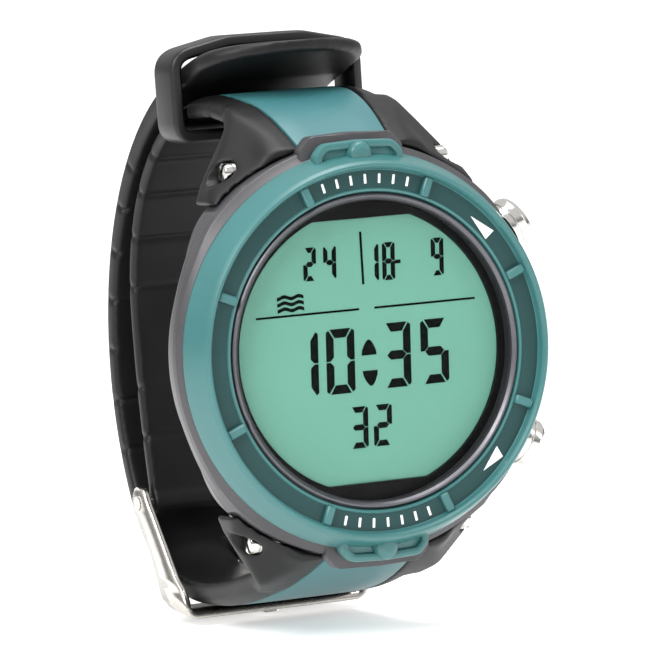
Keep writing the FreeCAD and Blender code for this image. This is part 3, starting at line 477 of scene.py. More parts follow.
def strap_rubber():
    """Polyurethane strap rubber, moulded: near black, half matt, with a fine spark-eroded grain."""
    return finish_material("moulded_polyurethane", colours().strap, shade(colours().strap, 1.4), 0.46,
                           grain=0.14,
                           relief=0.006, Specular_IOR_Level=0.28)


def insert_rubber():
    """Pigmented polyurethane, moulded: the bezel's blue green, slightly more matt."""
    return finish_material("pigmented_polyurethane", colours().insert, shade(colours().insert, 1.16), 0.42,
                           grain=0.14, relief=0.004)


def keeper_rubber():
    """Hard thermoplastic rubber, moulded: dark grey with a smoother face than the strap."""
    return finish_material("moulded_elastomer", colours().keeper, shade(colours().keeper, 1.2), 0.38,
                           grain=0.2,
                           relief=0.004, Specular_IOR_Level=0.35)


def polished_steel():
    """Stainless steel, turned and polished: bright, with clear soft reflections."""
    return finish_material("polished_stainless", linear("#d9d7d3"), linear("#cfcdc9"), 0.12, grain=0.5,
                           relief=0.0006,
                           patch=4.0, Metallic=1.0)


def satin_steel():
    """Stainless steel sheet, stamped and tumbled: warm grey with blurred reflections and fine scuffs."""
    return finish_material("tumbled_stainless", linear("#cbc7c1"), linear("#bab6b0"), 0.24, grain=0.25,
                           relief=0.0015,
                           patch=3.0, Metallic=1.0)


def ring_steel():
    """Stainless steel ring, blasted and blackened a little: a dull thin line round the glass."""
    return finish_material("blasted_stainless", linear("#6a696e"), linear("#5f5e63"), 0.42, grain=0.2,
                           relief=0.001, Metallic=1.0)


def mask_plastic():
    """Black moulded polycarbonate round the display: dark, low gloss."""
    return finish_material("black_polycarbonate", linear("#0c0c0d"), linear("#111112"), 0.42, grain=0.3,
                           relief=0.0004, Specular_IOR_Level=0.12)


def display_glass():
    """Reflective liquid crystal cell: a flat green polariser with the faintest grain."""
    return finish_material("liquid_crystal_cell", colours().display, shade(colours().display, 1.05), 0.45,
                           grain=0.3,
                           relief=0.0004, patch=14.0)


def segment_ink():
    """Switched-on liquid crystal segments: near black, with a trace of the green behind."""
    return finish_material("liquid_crystal_segment", colours().digits, shade(colours().digits, 1.3), 0.6,
                           grain=0.4,
                           relief=0.0004, Specular_IOR_Level=0.05)


def segment_shadow():
    """Shadow that the segments cast on the reflector behind the liquid crystal."""
    return finish_material("liquid_crystal_shadow", linear("#5f9c89"), linear("#649f8d"), 0.5, grain=0.4,
                           relief=0.0004)


def print_ink():
    """White pad-printed ink on the bezel: thin, even, half matt."""
    return finish_material("pad_print_white", colours().print, shade(colours().print, 0.93), 0.5,
                           grain=0.2, relief=0.002)


def crystal_glass():
    """Mineral glass: clear, hard gloss; only its reflection and a breath of tint show."""
    return finish_material("mineral_glass", linear("#050606"), linear("#070808"), 0.05, grain=0.6,
                           relief=0.0, Alpha=0.05,
                           Specular_IOR_Level=0.1,
                           IOR=1.52)


INNER_FINISHES = {
    # white polycarbonate light guides and frame: bright, half matt
    "white_polycarbonate": ("#e6e6e1", "#dcdcd6", 0.4, {}, ("backlight", "display_frame")),
    # layered conductive silicone: grey, matt
    "conductive_silicone": ("#8d8a86", "#6f6c69", 0.6, {"grain": 0.1}, ("connector_strips",)),
    # glass-epoxy laminate under green solder mask: glossy, faintly woven
    "solder_mask_laminate": ("#1c5a34", "#226a3e", 0.3, {"grain": 0.3}, ("main_board",)),
    # moulded epoxy packages: charcoal, matt
    "moulded_epoxy": ("#222224", "#2a2a2c", 0.55, {}, ("board_chips",)),
    # black moulded polycarbonate tray
    "tray_polycarbonate": ("#1e1e20", "#252527", 0.45, {}, ("battery_tray",)),
    # nickel-plated steel can, pressed
    "nickel_plated_can": ("#cfccc4", "#c2bfb7", 0.22, {"Metallic": 1.0}, ("coin_cell",)),
    # spring steel, blued grey
    "spring_steel_strip": ("#b4afa4", "#a39e93", 0.28, {"Metallic": 1.0},
                           ("battery_spring", "top_button_clip", "bottom_button_clip")),
    # turned brass, lightly tarnished
    "turned_brass": ("#c9a45c", "#b8924c", 0.25, {"Metallic": 1.0},
                     ("buzzer", "top_button_sleeve", "bottom_button_sleeve")),
    # drawn stainless, satin
    "drawn_stainless": ("#c6c4c0", "#b7b5b1", 0.25, {"Metallic": 1.0},
                        ("pressure_sensor", "upper_lug_tube", "lower_lug_tube", "buckle_pin")),
    # nitrile rubber seals: matt black
    "nitrile_seal": ("#17171a", "#202024", 0.6, {},
                     ("crystal_gasket", "sensor_seal", "back_gasket", "battery_cap_seal", "top_button_seals",
                      "bottom_button_seals")),
}


# ---------------------------------------------------------------- case and bezel

def case_radius(radius, depth, angle):
    """Lets the case swell at 12 and 6, where the straps hug it, and at the four back screws."""
    if radius < 20.2:
        return radius
    swell = 0.0
    if 4.8 < depth < 12.2:
        height = abs(math.sin(angle))
        ease = min(max((height - 0.42) / 0.3, 0.0), 1.0)
        ease = ease * ease * (3 - 2 * ease)
        fade = min(1.0, (12.2 - depth) / 1.2, (depth - 4.8) / 0.5)
        swell = max(0.0, 25.02 - radius) * ease * fade
    if depth > 10.6:
        off = (angle - math.pi / 4 + math.pi / 4) % (math.pi / 2) - math.pi / 4
        side = SCREW_CIRCLE * abs(math.sin(off))
        if side < 2.6:
            reach = SCREW_CIRCLE * math.cos(off) + math.sqrt(2.6 ** 2 - side ** 2)
            grow = min(1.0, (depth - 10.6) / 1.6)
            swell = max(swell, (reach - radius) * grow)
    height = abs(math.sin(angle))
    if 0.3 < height < 0.72 and 4.4 < depth < 13.0:
        ease = (height - 0.3) ** 1.7 / 0.42 ** 1.7
        swell = max(swell, 1.45 * ease * min(1.0, (depth - 4.4) / 3.4, (13.0 - depth) / 1.4))
    return radius + swell


def build_case():
    """The moulded tub, with wells for the buttons, holes for the lug tubes and collars at the tabs."""
    outline = rounded([
        (17.7, 4.1, 0), (17.4, 4.1, 0), (17.4, 3.46, 0), (18.65, 3.46, 0), (18.65, 1.66, 0), (18.88, 1.66, 0),
        (18.88, 2.16, 0), (20.1, 2.32, 0), (20.1, 4.36, 0), (23.9, 4.36, 0.25), (24.45, 5.1, 0.4),
        (24.45, 6.1, 0.9), (24.1, 7.8, 2.5), (23.4, 9.8, 2.0), (22.4, 11.8, 2.0), (21.4, 13.4, 1.2),
        (20.75, 14.8, 1.0), (20.35, 15.7, 0.3), (19.0, 15.7, 0.1), (19.0, 14.2, 0), (17.7, 14.2, 0)], 4)
    case = turned("case_tub", outline, 288, radius_at=case_radius)
    tools = []
    for side in (1, -1):
        angle = math.radians(BUTTON_ANGLE * side)
        way = Vector((math.cos(angle), 0, math.sin(angle)))
        origin = Vector((0, BUTTON_DEPTH - BACK_DEPTH, 0))
        well = [(0, 21.8), (3.3, 21.8), (3.3, 27), (0, 27)]
        bore = [(0, 16), (1.7, 16), (1.7, 22), (0, 22)]
        tools += [lathe_along("well", well, origin, way), lathe_along("bore", bore, origin, way)]
        hole = [(0, -20), (1.3, -20), (1.3, 20), (0, 20)]
        origin = Vector((0, BAR[0] - BACK_DEPTH, BAR[1] * side))
        tools.append(lathe_along("lug_hole", hole, origin, Vector((1, 0, 0)), 32))
    carved(case, *tools)
    collars = []
    for side in (1, -1):
        outline = rounded([(-6.9, side * 21.5, 0), (6.9, side * 21.5, 0), (6.9, side * 24.4, 1.2),
                           (5.5, side * 26.0, 1.3), (0, side * 26.25, 9), (-5.5, side * 26.0, 1.3),
                           (-6.9, side * 24.4, 1.2)], 5)
        collars.append(slab("tab_collar", outline, 4.5, 6.6, 0.35))
    case = joined("case_shell", [case] + collars)
    finished(case, case_nylon(), "case", ("case_body",))


def build_bezel():
    """The coloured ring: channel, lip and rim, with a tab and a dome at 12 and 6."""
    outline = rounded([
        (18.97, 1.6, 0.1), (19.1, 1.2, 0.08), (19.38, 1.14, 0.08), (19.5, 1.3, 0.1), (21.68, 1.3, 0.15),
        (21.85, 0.4, 0.12), (22.1, 0.03, 0.15), (22.4, 0.03, 0.2), (22.75, 0.55, 0.5), (23.55, 2.6, 1.5),
        (23.97, 3.8, 0.3), (23.97, 4.24, 0.15), (20.22, 4.24, 0), (20.22, 2.28, 0), (18.97, 2.12, 0)], 4)
    parts = [turned("bezel_ring", outline, 288)]
    for side in (1, -1):
        shelf = rounded([(-5.75, side * 20.8, 0), (5.75, side * 20.8, 0), (5.75, side * 23.6, 1.0),
                         (4.6, side * 24.95, 1.3), (0, side * 25.15, 8), (-4.6, side * 24.95, 1.3),
                         (-5.75, side * 23.6, 1.0)], 5)
        parts.append(slab("tab_shelf", shelf, 2.8, 4.24, 0.2))
        path = rounded([(-5.35, side * 21.6, 0), (-5.35, side * 23.5, 1.0), (-4.4, side * 24.6, 1.4),
                        (0, side * 24.8, 10), (4.4, side * 24.6, 1.4), (5.35, side * 23.5, 1.0),
                        (5.35, side * 21.6, 0)], 6)
        rings = []
        lip = ((-1, 1.5), (-1, 0.35), (-0.75, 0.1), (-0.35, 0), (0.35, 0), (0.75, 0.1), (1, 0.35), (1, 1.5))
        for index, spot in enumerate(path):
            ahead = path[min(index + 1, len(path) - 1)] - path[max(index - 1, 0)]
            out = Vector((-ahead.y, ahead.x)).normalized() * 0.52
            rings.append([place(spot.x + out.x * a, 2.25 + b, spot.y + out.y * a) for a, b in lip])
        parts.append(lofted("tab_lip", rings))
        dome = rounded([(0, 1.45, 0), (0.75, 1.45, 0.5), (1.35, 1.75, 0.5), (1.62, 2.5, 0.5), (1.64, 4.1, 0),
                        (0, 4.1, 0)], 4)
        parts.append(turned("tab_dome", dome, 48, rise=side * 23.6))
    bezel = joined("bezel_ring_and_tabs", parts)
    finished(bezel, bezel_plastic(), "case", ("bezel",))


def build_bezel_details():
    """The bars across the channel, and the printed arrows and marks in it."""
    # a thin sheet laid over the channel's floor carries the painted shade of the recessed channel
    floor = [(19.5, 1.34), (19.5, 1.275), (21.62, 1.275), (21.62, 1.34)]
    finished(turned("channel_shade_sheet", floor, 220), channel_shade_plastic(), "case", ())
    ribs = block_at_origin("channel_bars", 2.36, 1.0, sizes().rib_width * 1000, 0.22)
    count = sizes().rib_count
    fanned(ribs, "Y", count, 20.58, 180 / count, 360 / count, place(0, 1.05, 0), bezel_plastic())
    finished(ribs, bezel_plastic(), "case", ())
    marks = []
    for middle in (90, -90):
        count = sizes().mark_count
        mark = block_at_origin("marks", 1.25, 0.06, 0.42, 0.1)
        marks.append(fanned(mark, "Y", count, 20.62, middle - 5.2 * (count - 1) / 2, 5.2,
                            place(0, 1.28, 0), print_ink()))
    for corners in (((20.33, 47.7), (21.13, 38.1), (19.66, 38.0)),
                    ((20.54, -50.2), (19.96, -40.6), (21.4, -42.0))):
        marks.append(slab("arrow", [on_arc((0, 0), *corner) for corner in corners], 1.25, 1.32))
    finished(joined("printed_marks", marks), print_ink(), "case", ())


def build_window():
    """Retaining ring, glass and the black mask round the display."""
    ring = rounded([(18.17, 1.4, 0.04), (18.48, 1.06, 0.08), (18.66, 1.06, 0.08), (18.83, 1.24, 0.06),
                    (18.83, 1.44, 0), (18.17, 1.44, 0)], 3)
    finished(turned("window_ring", ring, 220), ring_steel(), "case", ("retaining_ring",))
    glass = rounded([(0, 1.46, 0), (17.8, 1.46, 0.1), (17.98, 1.64, 0.1), (17.98, 2.99, 0), (0, 2.99, 0)], 2)
    finished(turned("window_glass", glass, 160), crystal_glass(), "case", ("crystal",))
    outer = rounded([(18.5, 3.02, 0), (18.5, 3.44, 0)], 1)
    rings = []
    for index in range(360):
        angle = math.radians(index)
        reach = min(17.12, 15.85 / max(abs(math.sin(angle)), 1e-6))
        ring = [(reach, 3.43), (reach + 0.05, 3.03)] + [tuple(spot) for spot in outer]
        rings.append([place(r * math.cos(angle), d, r * math.sin(angle)) for r, d in ring])
    finished(lofted("display_mask", rings, loop=True), mask_plastic(), "case", ("dial_mask",))


SEGMENTS = {"0": "abcdef", "1": "bc", "2": "abged", "3": "abgcd", "4": "fgbc", "5": "afgcd", "6": "afgedc",
            "7": "abc", "8": "abcdefg", "9": "abcdfg", "-": "g"}


def digit_outlines(character, left, base, width, height, stroke, lean=0.045):
    """Outlines of one seven-segment character's bars, mitred where they meet."""
    gap = stroke * 0.06
    middle = height / 2
    half = stroke / 2
    top = [(0.4 * stroke + gap, height), (width - 0.4 * stroke - gap, height),
           (width - stroke - gap, height - stroke), (stroke + gap, height - stroke)]
    post = [(0, height - 0.35 * stroke), (0.3 * stroke, height - 0.1 * stroke),
            (stroke - gap, height - stroke - gap), (stroke - gap, middle + half), (half, middle + gap),
            (0, middle + gap)]
    waist = [(half + gap, middle), (stroke, middle + half), (width - stroke, middle + half),
             (width - half - gap, middle), (width - stroke, middle - half), (stroke, middle - half)]
    bars = {"a": top, "d": [(a, height - b) for a, b in top], "g": waist, "f": post,
            "e": [(a, height - b) for a, b in post], "b": [(width - a, b) for a, b in post],
            "c": [(width - a, height - b) for a, b in post]}
    return [[(left + a + lean * b, base + b) for a, b in bars[name]] for name in SEGMENTS[character]]


def build_display():
    """The green cell's face and the switched-on segments, with their faint shadow."""
    outlines = []
    for text, lefts, base, width, height, stroke in (
            ("24", (-7.95, -5.3), 8.9, 1.7, 4.0, 0.62),
            ("18", (0.3, 2.45), 8.15, 1.7, 4.55, 0.62),
            ("9", (8.98,), 8.15, 1.7, 4.55, 0.62),
            ("10", (-10.66, -5.86), -4.9, 3.76, 7.8, 1.08),
            ("35", (1.62, 6.7), -4.8, 3.76, 7.8, 1.08),
            ("32", (-3.3, -0.13), -11.65, 2.45, 5.0, 0.72)):
        for character, left in zip(text, lefts):
            outlines += digit_outlines(character, left, base, width, height, stroke)
    outlines.append([(4.25, 10.05), (5.0, 10.05), (5.0, 10.5), (4.25, 10.5)])
    outlines.append([(-0.3, 7.92), (0.02, 7.92), (0.06, 14.25), (-0.26, 14.25)])
    for first, last in ((-14.5, -0.9), (1.1, 14.6)):
        outlines.append([(first, 4.87), (last, 4.87), (last, 5.14), (first, 5.14)])
    arch = [(-1.0, 0), (-0.93, 0.55), (-0.6, 1.25), (-0.2, 1.78), (0.05, 1.88), (0.3, 1.78), (0.66, 1.25),
            (0.95, 0.55), (1.0, 0)]
    outlines.append([(a, b - 0.6) for a, b in arch])
    outlines.append([(a, -2.45 - b) for a, b in arch])
    for row in range(3):
        wave = [(-11.6 + 0.35 * k, 5.75 + 0.72 * row - 0.14 * math.cos(k * 1.15)) for k in range(11)]
        outlines.append([(a, b + 0.22) for a, b in wave] + [(a, b - 0.22) for a, b in reversed(wave)])
    bars = [slab("bar", outline, 3.445, 3.458) for outline in outlines]
    shadows = [slab("bar", [(a - 0.14, b - 0.12) for a, b in outline], 3.461, 3.467) for outline in outlines]
    finished(joined("display_segments", bars), segment_ink(), "case", ())
    finished(joined("display_segment_shadows", shadows), segment_shadow(), "case", ())
    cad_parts["display"].data.materials.clear()
    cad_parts["display"].data.materials.append(display_glass())


# ---------------------------------------------------------------- back of the case

def build_back():
    """Back cover with four eared corners, screws, battery cap and the pressure sensor's grille."""
    cell, sensor = 2.0, (-13.9, 3.8)

    def eared(radius, _depth, angle):
        off = angle % (math.pi / 2) - math.pi / 4
        side = SCREW_CIRCLE * abs(math.sin(off))
        if radius < 18.4 or side >= 2.0:
            return radius
        return max(radius, SCREW_CIRCLE * math.cos(off) + math.sqrt(4.0 - side ** 2) - (18.9 - radius))
    outline = rounded([(0, 14.02, 0), (15.2, 14.02, 0), (15.2, 14.22, 0), (18.88, 14.22, 0),
                       (18.88, 15.6, 0.2), (18.6, 15.96, 0.2), (16.6, 16.0, 0.1), (16.45, 15.85, 0.05),
                       (16.2, 15.85, 0.05),
                       (16.05, 16.0, 0.05), (0, 16.0, 0)], 3)
    cover = turned("rear_cover", outline, 288, radius_at=eared)
    cap_room = [(0, 13), (12.1, 13), (12.1, 15.1), (13.0, 15.1), (13.0, 17), (0, 17)]
    sensor_room = [(0, 13), (1.6, 13), (1.6, 14.55), (2.25, 14.55), (2.25, 17), (0, 17)]
    tools = [turned("cap_room", cap_room, 128, cell),
             turned("sensor_room", sensor_room, 48, *sensor)]
    sink = lathe_along("sinks", [(0, -2.5), (0.8, -2.5), (0.8, -0.9), (1.25, -0.9), (1.25, 1), (0, 1)],
                       Vector(), BACKWARDS, 32)
    tools.append(fanned(sink, "Y", 4, SCREW_CIRCLE, 45, 90))
    finished(carved(cover, *tools), case_nylon(), "case", ("back_cover",))

    screw_outline = rounded([(0, -0.1, 0), (0.95, -0.1, 0.1), (1.19, -0.3, 0.1), (1.19, -0.88, 0),
                             (0.67, -0.88, 0), (0.67, -5.4, 0.1), (0, -5.6, 0)], 3)
    screw = lathe_along("rear_screws", screw_outline, Vector(), BACKWARDS, 32)
    socket = lathe_along("socket", [(0, -0.6), (0.52, -0.6), (0.52, 1), (0, 1)], Vector(), BACKWARDS, 6)
    fanned(carved(screw, socket), "Y", 4, SCREW_CIRCLE, 45, 90, (0, 0, 0), polished_steel())
    finished(screw, polished_steel(), "case", ("back_screws",))

    cap_outline = rounded([(0, 13.4, 0), (11.98, 13.4, 0), (11.98, 14.3, 0), (11.45, 14.3, 0),
                           (11.45, 14.9, 0), (11.98, 14.9, 0), (11.98, 15.12, 0), (12.88, 15.12, 0),
                           (12.88, 15.8, 0.15),
                           (12.7, 16.0, 0.1), (10.4, 16.0, 0.1), (10.2, 15.8, 0.1), (9.9, 15.8, 0.1),
                           (9.7, 16.0, 0.1), (0, 16.0, 0)], 3)
    cap = turned("battery_door", cap_outline, 200, cell)
    notch = block_at_origin("notches", 0.9, 1.2, 0.6, 0.15)
    notches = fanned(notch, "Y", 36, 12.9, 0, 10, place(cell, 16.0, 0))
    slots = []
    for middle in (cell - 6.2, cell + 6.2):
        slots.append(slab("coin_slot", [(middle - 1.8, -0.9), (middle + 1.8, -0.9), (middle + 1.8, 0.9),
                                        (middle - 1.8, 0.9)], 15.3, 17))
    finished(carved(cap, notches, *slots), inner_material("tray_polycarbonate"), "case", ("battery_cap",))
    grille_outline = rounded([(0, 14.96, 0), (2.18, 14.96, 0), (2.18, 15.8, 0.15), (1.9, 15.94, 0.1),
                              (0, 15.94, 0)], 3)
    grille = turned("sensor_grille", grille_outline, 64, *sensor)
    vent = lathe_along("vents", [(0, -3), (0.3, -3), (0.3, 2), (0, 2)], Vector(), BACKWARDS, 16)
    vents = fanned(vent, "Y", 5, 1.05, 0, 72, place(sensor[0], 16, sensor[1]))
    finished(carved(grille, vents), satin_steel(), "case", ("sensor_cover",))


def inner_material(name):
    colour, second, roughness, extra, _nodes = INNER_FINISHES[name]
    return finish_material(name, linear(colour), linear(second), roughness, **extra)


def build_inner_parts():
    """Materials for the parts inside the case, which keep their modelled shapes."""
    for name, (_colour, _second, _roughness, _extra, nodes) in INNER_FINISHES.items():
        for label in nodes:
            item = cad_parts[label]
            item.data.materials.clear()
            item.data.materials.append(inner_material(name))


# ---------------------------------------------------------------- buttons and screws

def build_buttons():
    """Turned steel pushers with a collar line and a crowned end."""
    for name, side in (("top_button", 1), ("bottom_button", -1)):
        angle = math.radians(BUTTON_ANGLE * side)
        way = Vector((math.cos(angle), 0, math.sin(angle)))
        outline = rounded([(0, 16.62, 0), (1.08, 16.62, 0.1), (1.08, 17.15, 0), (0.82, 17.15, 0),
                           (0.82, 17.45, 0), (1.08, 17.45, 0), (1.08, 24.42, 0), (2.9, 24.42, 0.15),
                           (3.08, 24.6, 0.1),
                           (3.08, 25.15, 0.05), (2.92, 25.22, 0.03), (2.92, 25.4, 0.03), (3.08, 25.47, 0.05),
                           (3.08, 26.45, 0.35), (2.75, 27.05, 0.5), (2.0, 27.28, 1.0), (0, 27.38, 0)], 4)
        origin = Vector((0, BUTTON_DEPTH - BACK_DEPTH, 0))
        button = lathe_along(name + "_pusher", outline, origin, way, 96)
        finished(button, polished_steel(), name, (name,), 40)
        label = name + "_spring"
        spring = bpy.data.objects.new(name + "_wave_spring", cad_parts[label].data.copy())
        bpy.context.scene.collection.objects.link(spring)
        finished(spring, inner_material("spring_steel_strip"), "case", (label,), 30)
        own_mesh(spring)


def build_strap_screws():
    """Slotted screws in both ends of the two lug tubes."""
    for name, side in (("upper", 1), ("lower", -1)):
        parts = []
        for way in (1, -1):
            origin = Vector((0, BAR[0] - BACK_DEPTH, BAR[1] * side))
            outline = rounded([(0, 9.4, 0), (0.67, 9.4, 0.1), (0.67, 13.71, 0), (1.23, 13.71, 0.05),
                               (1.23, 14.7, 0.15), (1.05, 14.87, 0.15), (0, 14.9, 0)], 3)
            screw = lathe_along("screw", outline, origin, Vector((way, 0, 0)), 48)
            turn = Matrix.Rotation(math.radians(28 * side), 4, "X")
            corners = [turn @ Vector((0, y, z)) + origin
                       for y, z in ((-0.28, -3), (0.28, -3), (0.28, 3), (-0.28, 3))]
            rings = [[(SIDEWAYS * way * x + corner) / 1000 for corner in corners] for x in (14.3, 16)]
            parts.append(carved(screw, lofted("slot", rings)))
        screws = joined(name + "_lug_screws", parts)
        finished(screws, polished_steel(), "case", (name + "_strap_screws",))


# ---------------------------------------------------------------- straps

def strap_section(thick, edge_drop, inserted):
    """Returns the (across, drop) outline of a strap at a station, with a recess for the insert."""
    def section(spot):
        depth, _rise, _angle, along = spot
        recess = 0.75 if inserted(along, depth) else 0.0
        half = insert_half(depth) + 0.28
        right = [(half - 0.05, recess), (half + 0.12, 0.04 if recess else 0.0), (8.7, 0.03),
                 (9.7, edge_drop * 0.3), (10.45, edge_drop * 0.68), (10.9, edge_drop * 1.1),
                 (STRAP_HALF, edge_drop * 1.5), (STRAP_HALF, thick - 0.5), (10.85, thick - 0.15),
                 (10.5, thick), (4.0, thick)]
        return right + [(-across, drop) for across, drop in reversed(right)]
    return section


def hug_tool():
    return turned("hug", [(0, -5), (HUG_RADIUS, -5), (HUG_RADIUS, 20), (0, 20)], 200)


def groove_tool(centre, radius, first, last):
    """Cross grooves cut into the strap's inner face and round its edges, as a set of frames."""
    pitch = math.degrees(sizes().groove_pitch * 1000 / radius)
    count = int(abs(last - first) / pitch)
    outer = [(-12, -1.5), (12, -1.5), (12, 1.9), (10.72, 1.9), (10.62, 0.7), (10.2, 0.42),
             (-10.2, 0.42), (-10.62, 0.7), (-10.72, 1.9), (-12, 1.9)]
    rings = [[Vector((x, y, z)) / 1000 for x, y in outer] for z in (-0.34, 0.34)]
    tool = lofted("grooves", rings)
    return fanned(tool, "X", count, radius, min(first, last) + pitch / 2, pitch, place(0, *centre))


def moulded(name, items, side, smooth=5):
    """Closed shapes melted into one rubber moulding: soft edges, and cheeks that flow into the band."""
    item = joined(name, items)
    melt = item.modifiers.new("melt", "REMESH")
    melt.mode = "VOXEL"
    melt.voxel_size = sizes().rubber_voxel
    ease = item.modifiers.new("ease", "SMOOTH")
    ease.factor = 0.5
    ease.iterations = smooth
    baked(item)
    cheeks = item.vertex_groups.new(name="cheeks")
    for vertex in item.data.vertices:
        across, depth, rise = vertex.co * 1000
        depth, rise = depth + BACK_DEPTH, rise * side
        if abs(across) > STRAP_HALF and depth > 12.5:
            ease = min((depth - 12.5) / 4.7, 1.0)
            ease = ease * ease * (3 - 2 * ease)
            half = STRAP_HALF + (abs(across) - STRAP_HALF) * (1 - ease)
            vertex.co.x = math.copysign(half, across) / 1000
        if depth < 22 and rise > 18:
            weight = min(1.0, (abs(across) - 7.9) / 1.2, (22 - depth) / 4)
            seat = Vector((depth - BAR[0], rise - BAR[1])).length
            if seat < 2.6 and abs(across) > 12:
                weight = min(weight, (seat - 1.4) / 1.2)
            if weight > 0:
                cheeks.add([vertex.index], weight, "REPLACE")
    flow = item.modifiers.new("flow", "SMOOTH")
    flow.factor = 0.5
    flow.iterations = 34
    flow.vertex_group = "cheeks"
    return baked(item)


def screw_seats(side):
    """Round rooms for the heads of a lug tube's two screws."""
    origin = Vector((0, BAR[0] - BACK_DEPTH, BAR[1] * side))
    room = [(0, 13.68), (1.5, 13.68), (1.62, 19), (0, 19)]
    return [lathe_along("seat", room, origin, Vector((way, 0, 0)), 48) for way in (1, -1)]


def root_of(label, low, high):
    """The part of a strap's modelled solid that lies in a box, as a closed copy."""
    copy = bpy.data.objects.new("root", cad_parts[label].data.copy())
    bpy.context.scene.collection.objects.link(copy)
    work = bmesh.new()
    work.from_mesh(copy.data)
    bmesh.ops.remove_doubles(work, verts=work.verts, dist=1e-6)
    work.to_mesh(copy.data)
    work.free()
    corners = [(low[0], low[2]), (high[0], low[2]), (high[0], high[2]), (low[0], high[2])]
    box = slab("root_box", corners, low[1], high[1])
    return carved(copy, box, operation="INTERSECT")


def insert_band(name, arcs, last_angle, body_nodes):
    """A coloured insert with eased edges that lies in its strap's recess."""
    kept = []
    for centre, radius, first, last in arcs:
        low, high = sorted((first, last))
        if low < last_angle < high:
            kept.append((centre, radius, first, last_angle))
            break
        kept.append((centre, radius, first, last))
    spots = stations(kept, 0.5)

    def section(spot):
        half = insert_half(spot[0])
        right = [(half, 0.9), (half, 0.22), (half - 0.1, 0.06), (half - 0.3, 0.0), (half * 0.5, -0.03)]
        return right + [(-across, drop) for across, drop in reversed(right)]
    insert = band(name, spots, section)
    carved(insert, hug_tool())
    finished(insert, insert_rubber(), "case", body_nodes)


def build_upper_strap():
    """The short strap: shoulders, arch and end loop, with cross grooves inside."""
    upper, _lower = strap_arcs()
    crest_start = abs(math.radians(upper[0][3] - upper[0][2])) * 150.0
    insert_end = crest_start + math.radians(122 - 84) * 27.4
    section = strap_section(2.6, 0.95, lambda along, _depth: along < insert_end)
    body = band("upper", stations(upper, 0.6), section)
    tail = upper[2]
    tools = [hug_tool(), groove_tool(CREST, 24.8, 104, 0), groove_tool(tail[0], 132.4, tail[3] + 2.2, -0.6)]
    slot = [(-1.5, PIN[0] - 4), (1.5, PIN[0] - 4), (1.5, PIN[0] + 4), (-1.5, PIN[0] + 4)]
    rings = [[place(x, d, PIN[1] + z) for x, d in slot] for z in (-3.4, 2.8)]
    tools.append(lofted("tongue_slot", rings))
    carved(body, *tools)
    loop = []
    for left, right in ((-11, -1.5), (1.5, 11)):
        outline = rounded([(0, left, 0), (1.6, left, 0.3), (1.6, right, 0.3), (0, right, 0)], 3)
        loop.append(lathe_along("loop", outline, PIN_SPOT, SIDEWAYS, 48))
    root = root_of("upper_strap", (-20, 4, 15), (20, 17.0, 31.5))
    strap = moulded("short_strap", [body, root] + loop, 1)
    carved(strap, *screw_seats(1))
    hole = lathe_along("pin_hole", [(0, -20), (0.82, -20), (0.82, 20), (0, 20)],
                       PIN_SPOT, SIDEWAYS, 32)
    finished(carved(strap, hole), strap_rubber(), "case", ("upper_strap",), 60)
    insert_band("short_strap_insert", upper, 84.0, ("upper_insert",))


def build_lower_strap():
    """The long strap: shoulders, heel, oval holes, grooves and a rounded rising tip."""
    _upper, lower = strap_arcs()
    sole_end = math.radians(lower[0][3] - lower[0][2]) * 63.9
    insert_end = abs(sole_end) - math.radians(6) * 63.9
    spots = stations(lower, 0.6)
    total = spots[-1][3]
    plain = strap_section(3.2, 0.95, lambda along, _depth: along < insert_end)

    def section(spot):
        outline = plain(spot)
        left = total - spot[3]
        if left > 12:
            return outline
        slim = 0.42 + 0.58 * min(left / 12, 1.0) ** 0.8
        narrow = 1.0 if left > 7.4 else max(math.sqrt(max(1 - ((7.4 - left) / 7.4) ** 2, 0.0)), 0.05)
        return [(across * narrow, drop * slim) for across, drop in outline]
    body = band("lower", spots, section)
    tools = [hug_tool(), groove_tool(SWEEP, 36.4, 52, -22)]
    hole = rounded([(-1.5, -1.5, 1.4), (1.5, -1.5, 1.4), (1.5, 2.7, 1.4), (-1.5, 2.7, 1.4)], 5)
    rings = [[Vector((spot.x, y, spot.y)) / 1000 for spot in hole] for y in (-6, 3)]
    tools.append(fanned(lofted("holes", rings), "X", sizes().hole_count, 39.6, -12, 10, place(0, *SWEEP)))
    sweep = [on_arc(PIN, *spot) for spot in ((3, 235.5), (20, 235.5), (20, 250), (20, 272), (3, 272))]
    rings = [[place(x, d, z) for d, z in sweep] for x in (-1.5, 1.5)]
    tools.append(lofted("tongue_room", rings))
    carved(body, *tools)
    root = root_of("lower_strap", (-20, 4, -40), (20, 17.0, -15))
    strap = moulded("long_strap", [body, root], -1)
    carved(strap, *screw_seats(-1))
    finished(strap, strap_rubber(), "case", ("lower_strap",), 60)
    insert_band("long_strap_insert", lower, -96.0, ("lower_insert",))


# ---------------------------------------------------------------- buckle and keeper

